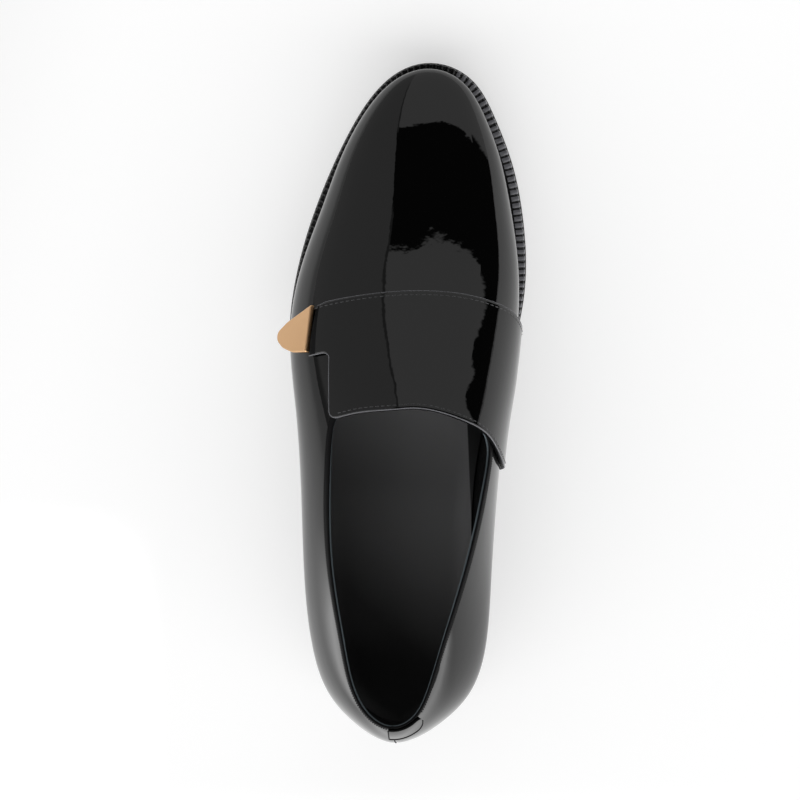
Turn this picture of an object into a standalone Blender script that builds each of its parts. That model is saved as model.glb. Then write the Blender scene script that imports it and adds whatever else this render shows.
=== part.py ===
"""Patent leather loafer for the left foot, built over the shape of its last.

Frame: +Y points to the toe, +X to the inner (medial) side, +Z up, and the origin is on the floor.
Sizes are written in millimetres and turned to metres as each mesh is made.
"""
import math
from collections import namedtuple

import bmesh
import bpy
import numpy as np
from mathutils import Matrix, Vector

OBJECT_NAME = "patent_leather_loafer"
MM = 0.001
FULL_TURN = 2 * math.pi

# Clearance between pieces, and wall thicknesses
GAP = 0.3
UPPER_WALL = 2.0
STRAP_THICKNESS = 1.6
HEEL_TAB_THICKNESS = 1.0
TIP_THICKNESS = 1.8

# Bottom profile: flat forefoot, toe spring in front of it, arch behind it up to the heel seat
OUTSOLE_THICKNESS = 4.5
WELT_THICKNESS = 3.5
TOE_SPRING = 9.0
HEEL_SEAT = 15.0
FLAT_FRONT = 72.0
FLAT_BACK = 18.0
SEAT_FRONT = -92.0
SOLE_TOE = 133.0
HEEL_BREAST = -66.0
TOP_LIFT = 6.0
HEEL_INSET = 0.8
HEEL_TAPER = 2.0
SOLE_EDGE_ROUND = 0.5

# Welt: how far the strip goes in under the upper, and the ribs cut across its outer edge
WELT_UNDER = 2.2
RIB_PITCH = 2.7
RIB_DEPTH = 0.9
RIB_REACH = 3.2
RIB_BACK = 6.0
WELT_EDGE = 0.3
PLAIN_STEP = 9.0

# Insole board inside the welt
INSOLE_CLEARANCE = 0.5
INSOLE_PROUD = 0.6

# The upper turns under towards the welt through this angle below its widest line
TUCK_ANGLE = math.radians(72)

# Saddle strap: a tab on the lateral side, a wider flap behind it, and its end over the medial welt
TAB_END = math.radians(34.5)
FLAP_EDGE = math.radians(44)
FLAP_CORNER = math.radians(5)
FLAP_ROUND = 3.0
STRAP_FOOT = math.pi + 0.76 * TUCK_ANGLE
TAB_WIDTH = 19.0

# Turns in radians: how far the tab's end leans back at its front, and the flap's edge at the tab,
# and how far round the strap the flap's lean dies out
TAB_SLANT = 0.075
FLAP_SLANT = 0.06
FLAP_SLANT_REACH = 0.35

# Metal tip on the tab: a plate with a bowed front side, a rounded point and a full rear side,
# given by its corners along the slope from the base and across it towards the toe
Corner = namedtuple("Corner", "along across radius")
TIP = (
    Corner(-2.6, 9.7, 0.6),
    Corner(13.3, 4.8, 14.0),
    Corner(22.2, 0.2, 3.2),
    Corner(16.2, -5.2, 8.0),
    Corner(9.5, -7.9, 10.0),
    Corner(0.2, -8.9, 0.6),
)
TIP_EDGE = 0.5
TIP_REST = math.radians(27)
CORNER_POINTS = 5

# Strip across the top of the back seam, as turns of the widest line and shares of the wall
BACK_STRIP_START = -0.24
BACK_STRIP_END = 0.03
BACK_STRIP_LOW = 0.58
BACK_STRIP_HIGH = 0.95
BACK_STRIP_ROUND = 0.06

# Height of the middle of the foot's space, step for slopes, weld distance and least half width
CORE_HEIGHT = 30.0
NUDGE = 1e-3
WELD = 0.005
LEAST_WIDTH = 1e-6
SMOOTH_ANGLE = math.radians(40)
BEVEL_SEGMENTS = 2

# Mesh counts
UPPER_COLUMNS = 96
UPPER_ROWS = 11
TUCK_ROWS = 4
COLUMN_CROWDING = 1.85
SLAB_STATIONS = 44
TAB_COLUMNS = 3
CORNER_COLUMNS = 4
BAND_COLUMNS = 33
TAB_ROWS = 5
FLAP_ROWS = 5
LENGTH_STEPS = 4000
BACK_STRIP_COLUMNS = 9
BACK_STRIP_ROWS = 4

# Cross-sections of the last, heel to toe. lateral and medial are the widest line seen from above,
# rise is its height over the welt, crown the height of the ridge over it, skew moves the ridge
# sideways as a share of the half width, full swells the shoulders, wall makes the sides upright
# (0 is a round arch), tucks pull the foot edge in.
Section = namedtuple("Section", "y lateral medial rise crown skew full wall tuck_lateral tuck_medial")
LAST = (
    Section(-133, -1.5, -1.5, 19.0, 0.0, -0.05, 0.00, 0.50, 4.5, 4.5),
    Section(-126, -17.6, 15.2, 19.0, 33.5, -0.05, 0.00, 0.55, 4.5, 4.5),
    Section(-115, -27.8, 26.2, 19.0, 38.8, -0.05, 0.00, 0.60, 4.5, 4.5),
    Section(-95, -34.8, 33.2, 19.0, 40.2, -0.04, 0.00, 0.62, 4.5, 5.0),
    Section(-70, -37.8, 35.2, 19.0, 45.5, 0.06, 0.00, 0.60, 5.0, 7.0),
    Section(-35, -39.6, 37.6, 18.0, 47.6, 0.24, 0.00, 0.22, 4.5, 9.0),
    Section(-5, -42.0, 40.8, 16.0, 41.1, 0.20, 0.00, 0.03, 3.0, 7.0),
    Section(25, -44.6, 44.6, 13.0, 34.5, 0.14, 0.04, 0.00, 2.5, 3.5),
    Section(50, -40.9, 45.6, 11.0, 28.2, 0.10, 0.06, 0.00, 2.5, 2.5),
    Section(75, -32.3, 42.5, 10.0, 22.9, 0.06, 0.08, 0.00, 2.5, 2.5),
    Section(95, -24.7, 38.2, 9.5, 18.3, 0.03, 0.10, 0.00, 2.5, 2.5),
    Section(110, -16.9, 32.8, 9.0, 13.8, 0.01, 0.12, 0.00, 2.5, 2.5),
    Section(122, -7.5, 26.2, 8.0, 8.2, 0.00, 0.12, 0.00, 2.0, 2.0),
    Section(130, 10.2, 10.2, 7.0, 0.0, 0.00, 0.12, 0.00, 1.5, 1.5),
)

# Outer edge of the sole and welt, and the collar with the throat, both seen from above
Side = namedtuple("Side", "y lateral medial")
SOLE = (
    Side(-130, -1.4, -1.4),
    Side(-124.5, -18.0, 15.6),
    Side(-115, -26.6, 24.2),
    Side(-95, -32.0, 30.0),
    Side(-65, -34.5, 30.0),
    Side(-30, -37.0, 30.5),
    Side(0, -42.5, 36.5),
    Side(22, -45.8, 43.8),
    Side(45, -44.0, 48.2),
    Side(70, -37.5, 47.5),
    Side(92, -28.8, 43.4),
    Side(110, -19.6, 36.8),
    Side(124, -9.2, 29.2),
    Side(133, 10.4, 10.4),
)
COLLAR = (
    Side(-124, -2.0, -2.0),
    Side(-118, -13.3, 8.3),
    Side(-107, -18.6, 12.8),
    Side(-90, -22.0, 18.0),
    Side(-62, -26.5, 26.6),
    Side(-35, -27.5, 33.0),
    Side(-20, -27.4, 35.2),
    Side(-12, -26.8, 32.6),
    Side(-6, -24.2, 24.0),
    Side(-3, -16.5, 15.5),
    Side(-1.5, 5.0, 5.0),
)

# Front and rear edges of the strap by the angle round the section, in degrees from lateral
Edge = namedtuple("Edge", "angle front rear")
STRAP = (
    Edge(34, 36.0, -8.0),
    Edge(47, 38.2, -7.0),
    Edge(59, 39.8, -5.0),
    Edge(77, 41.5, -3.7),
    Edge(89, 41.9, -3.2),
    Edge(102, 41.6, -4.9),
    Edge(117, 40.3, -8.2),
    Edge(136, 37.4, -13.4),
    Edge(150, 34.8, -19.0),
    Edge(168, 30.4, -24.6),
    Edge(180, 28.2, -26.0),
    Edge(252, 24.0, -28.2),
)

# Colour, roughness and metallic value of each piece
Finish = namedtuple("Finish", "colour roughness metallic")
FINISHES = {
    "outsole": Finish((0.012, 0.012, 0.013), 0.55, 0.0),
    "welt": Finish((0.010, 0.010, 0.011), 0.35, 0.0),
    "heel": Finish((0.010, 0.010, 0.011), 0.40, 0.0),
    "heel_top_lift": Finish((0.015, 0.015, 0.015), 0.70, 0.0),
    "insole": Finish((0.020, 0.020, 0.022), 0.45, 0.0),
    "upper": Finish((0.006, 0.006, 0.007), 0.08, 0.0),
    "strap": Finish((0.006, 0.006, 0.007), 0.08, 0.0),
    "strap_tip": Finish((0.58, 0.36, 0.17), 0.30, 1.0),
    "heel_tab": Finish((0.006, 0.006, 0.007), 0.08, 0.0),
}


def natural_spline(knots, values):
    """Return a function: the natural cubic spline through values at rising knots."""
    knots = np.asarray(knots, float)
    values = np.asarray(values, float)
    count = len(knots)
    step = np.diff(knots)
    slope = np.diff(values) / step
    matrix = np.eye(count)
    right = np.zeros(count)
    for i in range(1, count - 1):
        matrix[i, i - 1:i + 2] = step[i - 1], 2 * (step[i - 1] + step[i]), step[i]
        right[i] = 6 * (slope[i] - slope[i - 1])
    bend = np.linalg.solve(matrix, right)

    def value_at(where):
        where = np.clip(np.asarray(where, float), knots[0], knots[-1])
        i = np.clip(np.searchsorted(knots, where) - 1, 0, count - 2)
        before = (knots[i + 1] - where) / step[i]
        after = (where - knots[i]) / step[i]
        curl = (before ** 3 - before) * bend[i] + (after ** 3 - after) * bend[i + 1]
        return before * values[i] + after * values[i + 1] + curl * step[i] ** 2 / 6

    return value_at


class Outline:
    """A closed outline seen from above, round at heel and toe.

    turn runs from 0 at the heel along the lateral side to pi at the toe, and back along the
    medial side to a full turn.
    """

    def __init__(self, rows):
        self.heel = rows[0].y
        self.toe = rows[-1].y
        self.turns = self.turn_at(np.array([row.y for row in rows], float))
        self.across = self.loop([row.lateral for row in rows], [row.medial for row in rows])

    def turn_at(self, y):
        share = (np.asarray(y, float) - self.heel) / (self.toe - self.heel)
        return np.arccos(np.clip(1 - 2 * share, -1, 1))

    def loop(self, lateral, medial):
        """Return a periodic spline through one value for each row and side."""
        turns = np.concatenate([self.turns, FULL_TURN - self.turns[-2:0:-1]])
        values = np.concatenate([lateral, medial[-2:0:-1]])
        turns = np.concatenate([turns - FULL_TURN, turns, turns + FULL_TURN])
        spline = natural_spline(turns, np.tile(values, 3))
        return lambda turn: spline(np.mod(turn, FULL_TURN))

    def along(self, turn):
        return self.heel + (self.toe - self.heel) * (1 - np.cos(turn)) / 2

    def point(self, turn):
        return np.stack([self.across(turn), self.along(turn)], axis=-1)

    def normal(self, turn):
        """Return the outward unit normal in the plan."""
        run = self.point(np.asarray(turn) + NUDGE) - self.point(np.asarray(turn) - NUDGE)
        run = run / np.linalg.norm(run, axis=-1, keepdims=True)
        return np.stack([-run[..., 1], run[..., 0]], axis=-1)

    def inset(self, turn, distance):
        return self.point(turn) - self.normal(turn) * np.expand_dims(distance, -1)


def column(name):
    return [getattr(row, name) for row in LAST]


GIRTH = Outline(LAST)
SOLE_EDGE = Outline(SOLE)
COLLAR_EDGE = Outline(COLLAR)
RISE = natural_spline(column("y"), column("rise"))
SKEW = natural_spline(column("y"), column("skew"))
FULL = natural_spline(column("y"), column("full"))
WALL = natural_spline(column("y"), column("wall"))
CROWN = natural_spline(GIRTH.turns, column("crown"))
TUCK = GIRTH.loop(column("tuck_lateral"), column("tuck_medial"))
STRAP_FRONT = natural_spline([math.radians(row.angle) for row in STRAP], [row.front for row in STRAP])
STRAP_REAR = natural_spline([math.radians(row.angle) for row in STRAP], [row.rear for row in STRAP])


def sole_bottom(y):
    """Height of the outsole's underside: toe spring, flat forefoot, arch and heel seat."""
    y = np.asarray(y, float)
    spring = np.clip((y - FLAT_FRONT) / (SOLE_TOE - FLAT_FRONT), 0, None)
    arch = np.clip((FLAT_BACK - y) / (FLAT_BACK - SEAT_FRONT), 0, 1)
    return TOE_SPRING * spring ** 2 + HEEL_SEAT * arch ** 2 * (3 - 2 * arch)


def sole_top(y):
    return sole_bottom(y) + OUTSOLE_THICKNESS


def welt_top(y):
    return sole_top(y) + WELT_THICKNESS


def girth_height(y):
    return welt_top(y) + RISE(y)


def section(y):
    """Return middle, half width, ridge shift, crown, fullness and wall of the section at y."""
    turn = GIRTH.turn_at(y)
    lateral = GIRTH.across(turn)
    medial = GIRTH.across(FULL_TURN - turn)
    half = np.maximum((medial - lateral) / 2, LEAST_WIDTH)
    return (lateral + medial) / 2, half, SKEW(y) * half, CROWN(turn), FULL(y), WALL(y)


def skin_height(x, y):
    """Height of the upper's outer skin over a point of the plan inside the widest line."""
    middle, half, shift, crown, full, wall = section(y)
    offset = x - middle - shift
    root = np.sqrt(np.maximum(half ** 2 - 4 * shift * offset, 0))
    share = np.clip(2 * offset / (half + root), -1, 1)
    arch = np.sqrt(1 - share ** 2)
    return girth_height(y) + crown * arch * (1 - wall + wall * arch) * (1 + full * share ** 2)


def tucked_point(turn, share):
    """Point on the skin under the widest line; share runs from 0 there to 1 at the foot."""
    top = GIRTH.point(turn)
    angle = share * TUCK_ANGLE
    inward = TUCK(turn) * (1 - np.cos(angle)) / (1 - math.cos(TUCK_ANGLE))
    plan = top - GIRTH.normal(turn) * np.expand_dims(inward, -1)
    foot = GIRTH.inset(turn, TUCK(turn))
    high = girth_height(top[..., 1])
    drop = high - welt_top(foot[..., 1]) - GAP
    height = high - drop * np.sin(angle) / math.sin(TUCK_ANGLE)
    return np.concatenate([plan, np.expand_dims(height, -1)], axis=-1)


def collar_turn(turn):
    """Pair a turn of the widest line with one of the collar, crowding columns to the throat."""
    turn = np.mod(turn, FULL_TURN)
    medial = turn > math.pi
    side = np.where(medial, FULL_TURN - turn, turn)
    paired = math.pi * (1 - (1 - side / math.pi) ** COLUMN_CROWDING)
    return np.where(medial, FULL_TURN - paired, paired)


def raised_point(turn, share):
    """Point on the skin from the widest line (share 0) to the collar edge (share 1)."""
    low = GIRTH.point(turn)
    high = COLLAR_EDGE.point(collar_turn(turn))
    plan = low + (high - low) * np.expand_dims(share, -1)
    height = skin_height(plan[..., 0], plan[..., 1])
    return np.concatenate([plan, np.expand_dims(height, -1)], axis=-1)


def band_point(y, angle):
    """Point on the skin round one section: 0 at the lateral widest line, pi at the medial one.

    Past pi it goes on down the medial side towards the welt.
    """
    y = np.asarray(y, float)
    angle = np.asarray(angle, float)
    middle, half, shift, crown, full, wall = section(y)
    over = np.clip(angle, 0, math.pi)
    share = -np.cos(over)
    x = middle + half * share + shift * (1 - share ** 2)
    arch = np.sin(over)
    z = girth_height(y) + crown * arch * (1 - wall + wall * arch) * (1 + full * share ** 2)
    arc = np.stack(np.broadcast_arrays(x, y, z), axis=-1)
    under = np.clip((angle - math.pi) / TUCK_ANGLE, 0, 1)
    side = tucked_point(FULL_TURN - GIRTH.turn_at(y), under)
    return np.where(np.expand_dims(angle > math.pi, -1), side, arc)


def offset_grid(surface, first, second, distance):
    """Points of a surface(first, second) moved outward along its normal."""
    run = surface(first + NUDGE, second) - surface(first - NUDGE, second)
    climb = surface(first, second + NUDGE) - surface(first, second - NUDGE)
    normal = np.cross(climb, run)
    normal /= np.linalg.norm(normal, axis=-1, keepdims=True)
    return surface(first, second) + normal * distance


def add_object(name, vertices, faces, collection):
    """Make a mesh object from points in millimetres: ends welded, no loose points, faces outward."""
    mesh = bpy.data.meshes.new(name)
    mesh.from_pydata([tuple(float(c) * MM for c in vertex) for vertex in vertices], [], faces)
    work = bmesh.new()
    work.from_mesh(mesh)
    loose = [vertex for vertex in work.verts if not vertex.link_faces]
    bmesh.ops.delete(work, geom=loose, context="VERTS")
    bmesh.ops.remove_doubles(work, verts=work.verts, dist=WELD * MM)
    bmesh.ops.dissolve_degenerate(work, edges=work.edges, dist=WELD * MM)
    bmesh.ops.recalc_face_normals(work, faces=work.faces)
    work.to_mesh(mesh)
    work.free()
    return place(name, mesh, collection)


def place(name, data, collection):
    """Link an object into the collection with its own material."""
    part = bpy.data.objects.new(name, data)
    collection.objects.link(part)
    finish = FINISHES[name]
    material = bpy.data.materials.new(name)
    material.use_nodes = True
    shader = material.node_tree.nodes["Principled BSDF"]
    shader.inputs["Base Color"].default_value = (*finish.colour, 1.0)
    shader.inputs["Roughness"].default_value = finish.roughness
    shader.inputs["Metallic"].default_value = finish.metallic
    data.materials.append(material)
    return part


def grid_faces(rows, columns, closed):
    """Quads of a grid stored row by row, closed round its columns or open."""
    faces = []
    for i in range(rows - 1):
        for j in range(columns if closed else columns - 1):
            k = (j + 1) % columns
            faces.append((i * columns + j, i * columns + k, (i + 1) * columns + k, (i + 1) * columns + j))
    return faces


def thicken(part, thickness, offset):
    """Give an open skin a wall: offset -1 grows it inward, 1 outward."""
    solidify = part.modifiers.new("wall", "SOLIDIFY")
    solidify.thickness = thickness * MM
    solidify.offset = offset
    solidify.use_even_offset = True
    part.data.shade_smooth()
    part.data.set_sharp_from_angle(angle=SMOOTH_ANGLE)


def open_skin(name, grid, faces, collection):
    """Make an open skin from a grid of points, its faces turned away from the shoe's core."""
    part = add_object(name, grid.reshape(-1, 3), faces, collection)
    middle = part.data.polygons[len(part.data.polygons) // 2]
    core = Vector((0, middle.center.y, CORE_HEIGHT * MM))
    if middle.normal.dot(middle.center - core) < 0:
        part.data.flip_normals()
    return part


def make_upper(collection):
    """Vamp and quarters: one skin from the welt up to collar and throat, with a wall inside."""
    turns = np.arange(UPPER_COLUMNS) * FULL_TURN / UPPER_COLUMNS
    rows = [tucked_point(turns, 1 - i / TUCK_ROWS) for i in range(TUCK_ROWS)]
    for i in range(UPPER_ROWS + 1):
        share = 1 - math.cos(i / UPPER_ROWS * math.pi / 2)
        rows.append(raised_point(turns, np.full(UPPER_COLUMNS, share)))
    grid = np.array(rows)
    upper = open_skin("upper", grid, grid_faces(len(rows), UPPER_COLUMNS, True), collection)
    thicken(upper, UPPER_WALL, -1)


def slab(name, turns, low_edge, high_edge, low, high, collection):
    """Solid plate between two outlines, whose heights are functions of y."""
    rails = []
    for side in (turns, FULL_TURN - turns):
        for edge, height in ((low_edge, low), (high_edge, high)):
            plan = edge(side)
            rails.append(np.column_stack([plan, height(plan[:, 1])]))
    lateral_low, lateral_high, medial_low, medial_high = rails
    order = (lateral_low, lateral_high, medial_high, medial_low)
    vertices = [rail[i] for i in range(len(turns)) for rail in order]
    faces = []
    for i in range(len(turns) - 1):
        a, b = 4 * i, 4 * (i + 1)
        faces += [(a + j, a + (j + 1) % 4, b + (j + 1) % 4, b + j) for j in range(4)]
    faces += [(3, 2, 1, 0), tuple(4 * (len(turns) - 1) + j for j in range(4))]
    add_object(name, vertices, faces, collection)


def sole_inset(distance):
    """Return a function: the sole's edge moved in by a distance."""
    return lambda turn: SOLE_EDGE.inset(turn, np.full(np.shape(turn), distance))


def foot_inset(distance):
    """Return a function: the upper's foot edge moved in by a distance."""
    return lambda turn: GIRTH.inset(turn, TUCK(turn) + distance)


def make_outsole(collection):
    turns = np.linspace(0, math.pi, SLAB_STATIONS)
    slab("outsole", turns, sole_inset(SOLE_EDGE_ROUND), sole_inset(0.0), sole_bottom, sole_top, collection)


def make_insole(collection):
    """The board inside the welt, standing a little over it."""
    turns = np.linspace(0, math.pi, SLAB_STATIONS)
    edge = foot_inset(WELT_UNDER + INSOLE_CLEARANCE)
    slab("insole", turns, edge, edge, lambda y: sole_top(y) + GAP,
         lambda y: welt_top(y) + INSOLE_PROUD, collection)


def make_heel(collection):
    """The block under the heel seat, tapering to the top lift."""
    turns = np.linspace(0, float(SOLE_EDGE.turn_at(HEEL_BREAST)), SLAB_STATIONS // 2)
    slab("heel", turns, sole_inset(HEEL_INSET + HEEL_TAPER), sole_inset(HEEL_INSET),
         lambda y: np.full(np.shape(y), TOP_LIFT + GAP), lambda y: sole_bottom(y) - GAP, collection)


def flat_plate(name, points, thickness, collection):
    """A plate cut to a flat outline, lying on z 0, from a filled and extruded curve."""
    curve = bpy.data.curves.new(name, "CURVE")
    curve.dimensions = "2D"
    curve.fill_mode = "BOTH"
    curve.extrude = thickness * MM / 2
    spline = curve.splines.new("POLY")
    spline.points.add(len(points) - 1)
    for knot, point in zip(spline.points, points):
        knot.co = (point[0] * MM, point[1] * MM, 0, 1)
    spline.use_cyclic_u = True
    part = place(name, curve, collection)
    part.location.z = thickness * MM / 2
    return part


def make_heel_top_lift(collection):
    """The rubber lift: its underside is the heel's flat spot on the floor."""
    breast = float(SOLE_EDGE.turn_at(HEEL_BREAST))
    turns = np.linspace(breast, -breast, SLAB_STATIONS)
    points = SOLE_EDGE.inset(turns, np.full(SLAB_STATIONS, HEEL_INSET + HEEL_TAPER))
    flat_plate("heel_top_lift", points, TOP_LIFT, collection)


def welt_stations():
    """Turns round the sole's edge, with 0 in each rib's groove and 1 on crests and plain lengths."""
    fine = np.linspace(0, FULL_TURN, LENGTH_STEPS + 1)
    plan = SOLE_EDGE.point(fine)
    length = np.concatenate([[0], np.cumsum(np.linalg.norm(np.diff(plan, axis=0), axis=1))])
    ribbed_from = np.interp(SOLE_EDGE.turn_at(RIB_BACK), fine, length)
    ribbed_to = np.interp(FULL_TURN - SOLE_EDGE.turn_at(RIB_BACK), fine, length)
    ribs = round((ribbed_to - ribbed_from) / RIB_PITCH)
    ribbed = np.linspace(ribbed_from, ribbed_to, 2 * ribs + 1)
    before = np.arange(0, ribbed_from - PLAIN_STEP / 2, PLAIN_STEP)
    after = np.arange(ribbed_to + PLAIN_STEP, length[-1] - PLAIN_STEP / 2, PLAIN_STEP)
    places = np.concatenate([before, ribbed, after])
    crest = np.ones(len(places))
    crest[len(before) + 1:len(before) + len(ribbed):2] = 0
    return np.interp(places, length, fine), crest


def make_welt(collection):
    """The strip between outsole and upper, with ribs across its outer edge."""
    turns, crest = welt_stations()
    inner = foot_inset(WELT_UNDER)(turns)
    shoulder = SOLE_EDGE.inset(turns, np.full(len(turns), RIB_REACH))
    rim = SOLE_EDGE.inset(turns, np.full(len(turns), WELT_EDGE))
    sunk = WELT_EDGE + RIB_DEPTH * (1 - crest)
    ribbed = SOLE_EDGE.inset(turns, sunk)
    rails = (
        np.column_stack([inner, sole_top(inner[:, 1]) + GAP]),
        np.column_stack([rim, sole_top(rim[:, 1]) + GAP]),
        np.column_stack([ribbed, welt_top(ribbed[:, 1]) - sunk]),
        np.column_stack([shoulder, welt_top(shoulder[:, 1])]),
        np.column_stack([inner, welt_top(inner[:, 1])]),
    )
    count = len(rails) * len(turns)
    faces = grid_faces(len(rails) + 1, len(turns), True)
    faces = [tuple(index % count for index in face) for face in faces]
    add_object("welt", np.array(rails).reshape(-1, 3), faces, collection)


def strap_angles():
    """Angles of the strap's columns: the tab, the flap's rounded corner, then over and down."""
    tab = np.linspace(TAB_END, FLAP_EDGE, TAB_COLUMNS + 1)[:-1]
    corner = FLAP_EDGE + FLAP_CORNER * (1 - np.cos(np.linspace(0, math.pi / 2, CORNER_COLUMNS + 1)))
    rest = np.linspace(FLAP_EDGE + FLAP_CORNER, STRAP_FOOT, BAND_COLUMNS + 1)[1:]
    return np.concatenate([tab, corner, rest]), len(tab)


def make_strap(collection):
    """Saddle strap laid over the vamp, with the flap behind its tab cut square and rounded."""
    angles, tab_columns = strap_angles()
    front = STRAP_FRONT(angles)
    split = front - TAB_WIDTH
    near = np.clip(1 - (angles - FLAP_EDGE) / FLAP_CORNER, 0, 1)
    rear = STRAP_REAR(angles) + FLAP_ROUND * (1 - np.sqrt(1 - near ** 2))
    rows = [rear + (split - rear) * i / FLAP_ROWS for i in range(FLAP_ROWS)]
    rows += [split + (front - split) * i / TAB_ROWS for i in range(TAB_ROWS + 1)]
    y = np.array(rows)
    fade = np.clip((FLAP_EDGE - angles) / (FLAP_EDGE - TAB_END), 0, 1)
    ahead = np.clip((y - split) / TAB_WIDTH, 0, 1)
    behind = np.clip((split - y) / (split - STRAP_REAR(angles)), 0, 1)
    upright = np.where(angles < FLAP_EDGE, 1 - fade,
                       np.clip(1 - (angles - FLAP_EDGE) / FLAP_SLANT_REACH, 0, 1))
    around = angles + TAB_SLANT * fade * ahead + FLAP_SLANT * upright * (1 - ahead) * (1 - behind)
    grid = offset_grid(band_point, y, around, GAP)
    count = len(angles)
    faces = [face for face in grid_faces(len(rows), count, False)
             if face[0] // count >= FLAP_ROWS or face[0] % count >= tab_columns]
    strap = open_skin("strap", grid, faces, collection)
    thicken(strap, STRAP_THICKNESS, 1)


def rounded_outline(corners):
    """Points of a closed outline whose corners (along, across, radius) are rounded by arcs."""
    places = [Vector((corner.across, corner.along)) for corner in corners]
    points = []
    for i, corner in enumerate(corners):
        here = places[i]
        back = (places[i - 1] - here).normalized()
        ahead = (places[(i + 1) % len(places)] - here).normalized()
        half = back.angle(ahead) / 2
        centre = here + (back + ahead).normalized() * corner.radius / math.sin(half)
        first = here + back * corner.radius / math.tan(half) - centre
        last = here + ahead * corner.radius / math.tan(half) - centre
        sweep = first.angle_signed(last)
        for j in range(CORNER_POINTS):
            turn = Matrix.Rotation(-sweep * j / (CORNER_POINTS - 1), 2)
            points.append(centre + turn @ first)
    return points


def make_strap_tip(collection):
    """Flat metal tip: a plate that rests on the upper below the tab's end, with eased edges."""
    rest = np.array(TIP_REST)
    y = np.array(float(STRAP_FRONT(TAB_END)) - TAB_WIDTH / 2)
    forward = Vector(band_point(y + NUDGE, rest) - band_point(y - NUDGE, rest)).normalized()
    down = Vector(band_point(y, rest - NUDGE) - band_point(y, rest + NUDGE)).normalized()
    out = forward.cross(down).normalized()
    down = out.cross(forward)
    touch = Vector(offset_grid(band_point, y, rest, GAP + TIP_THICKNESS / 2))
    tab_end = Vector(band_point(y, np.array(TAB_END)))
    base = touch + down * (down.dot(tab_end - touch) + GAP)
    tip = flat_plate("strap_tip", rounded_outline(TIP), TIP_THICKNESS, collection)
    axes = Matrix((forward, down, out)).transposed().to_4x4()
    tip.matrix_world = Matrix.Translation(base * MM) @ axes
    weld = tip.modifiers.new("weld", "WELD")
    weld.merge_threshold = WELD * MM
    bevel = tip.modifiers.new("eased edge", "BEVEL")
    bevel.width = TIP_EDGE * MM
    bevel.segments = BEVEL_SEGMENTS
    bevel.limit_method = "ANGLE"


def make_heel_tab(collection):
    """Short strip that laps from the lateral quarter over the top of the back seam."""
    turns = np.linspace(BACK_STRIP_START, BACK_STRIP_END, BACK_STRIP_COLUMNS)
    end = np.clip((turns - BACK_STRIP_START) / BACK_STRIP_ROUND, 0, 1)
    narrow = (1 - np.sqrt(1 - (1 - end) ** 2)) * (BACK_STRIP_HIGH - BACK_STRIP_LOW) / 2
    low = BACK_STRIP_LOW + narrow
    high = BACK_STRIP_HIGH - narrow
    shares = np.array([low + (high - low) * i / BACK_STRIP_ROWS for i in range(BACK_STRIP_ROWS + 1)])
    grid = offset_grid(raised_point, np.broadcast_to(turns, shares.shape), shares, GAP)
    faces = grid_faces(len(shares), BACK_STRIP_COLUMNS, False)
    strip = open_skin("heel_tab", grid, faces, collection)
    thicken(strip, HEEL_TAB_THICKNESS, 1)


def build():
    """Clear the scene and make every piece in one collection."""
    for old in list(bpy.data.objects):
        bpy.data.objects.remove(old, do_unlink=True)
    collection = bpy.data.collections.new(OBJECT_NAME)
    bpy.context.scene.collection.children.link(collection)
    make_outsole(collection)
    make_welt(collection)
    make_heel(collection)
    make_heel_top_lift(collection)
    make_insole(collection)
    make_upper(collection)
    make_strap(collection)
    make_strap_tip(collection)
    make_heel_tab(collection)


build()
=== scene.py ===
"""Finished surfaces of a black patent leather loafer for the left foot.

Every piece follows the same last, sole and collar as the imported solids: +Y points to the toe,
+X to the inner (medial) side, +Z up. Shapes are worked out in millimetres.
"""
import math
from collections import namedtuple

import bmesh
import bpy
import numpy as np
from mathutils import Matrix, Vector


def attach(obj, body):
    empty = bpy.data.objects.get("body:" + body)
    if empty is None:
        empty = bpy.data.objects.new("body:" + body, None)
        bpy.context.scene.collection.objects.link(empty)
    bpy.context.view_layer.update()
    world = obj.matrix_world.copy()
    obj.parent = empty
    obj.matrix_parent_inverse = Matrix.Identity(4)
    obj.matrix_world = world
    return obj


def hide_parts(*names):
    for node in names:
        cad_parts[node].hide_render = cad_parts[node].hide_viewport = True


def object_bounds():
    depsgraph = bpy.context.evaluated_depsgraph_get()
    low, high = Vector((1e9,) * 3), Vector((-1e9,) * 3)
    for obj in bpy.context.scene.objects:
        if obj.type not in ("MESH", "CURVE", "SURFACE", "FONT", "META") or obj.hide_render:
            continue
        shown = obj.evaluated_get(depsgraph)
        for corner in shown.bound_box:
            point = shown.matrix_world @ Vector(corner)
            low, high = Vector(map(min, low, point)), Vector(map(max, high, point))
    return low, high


bl_info = {
    "name": "Patent Leather Loafer",
    "version": (1, 0, 0),
    "blender": (4, 5, 0),
    "location": "3D View > Sidebar > Loafer",
    "description": "Dresses a loafer's solids in patent leather, lining, stitches, welt and metal",
    "category": "Object",
}

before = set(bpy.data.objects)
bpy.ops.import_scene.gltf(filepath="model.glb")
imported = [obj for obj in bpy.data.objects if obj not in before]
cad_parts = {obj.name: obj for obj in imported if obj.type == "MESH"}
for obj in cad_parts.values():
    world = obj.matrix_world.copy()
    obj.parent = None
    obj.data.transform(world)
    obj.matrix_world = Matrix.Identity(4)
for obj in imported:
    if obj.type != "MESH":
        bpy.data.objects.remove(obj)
CAD_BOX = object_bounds()
BODY = "root"
MM = 0.001
FULL_TURN = 2 * math.pi

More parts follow.
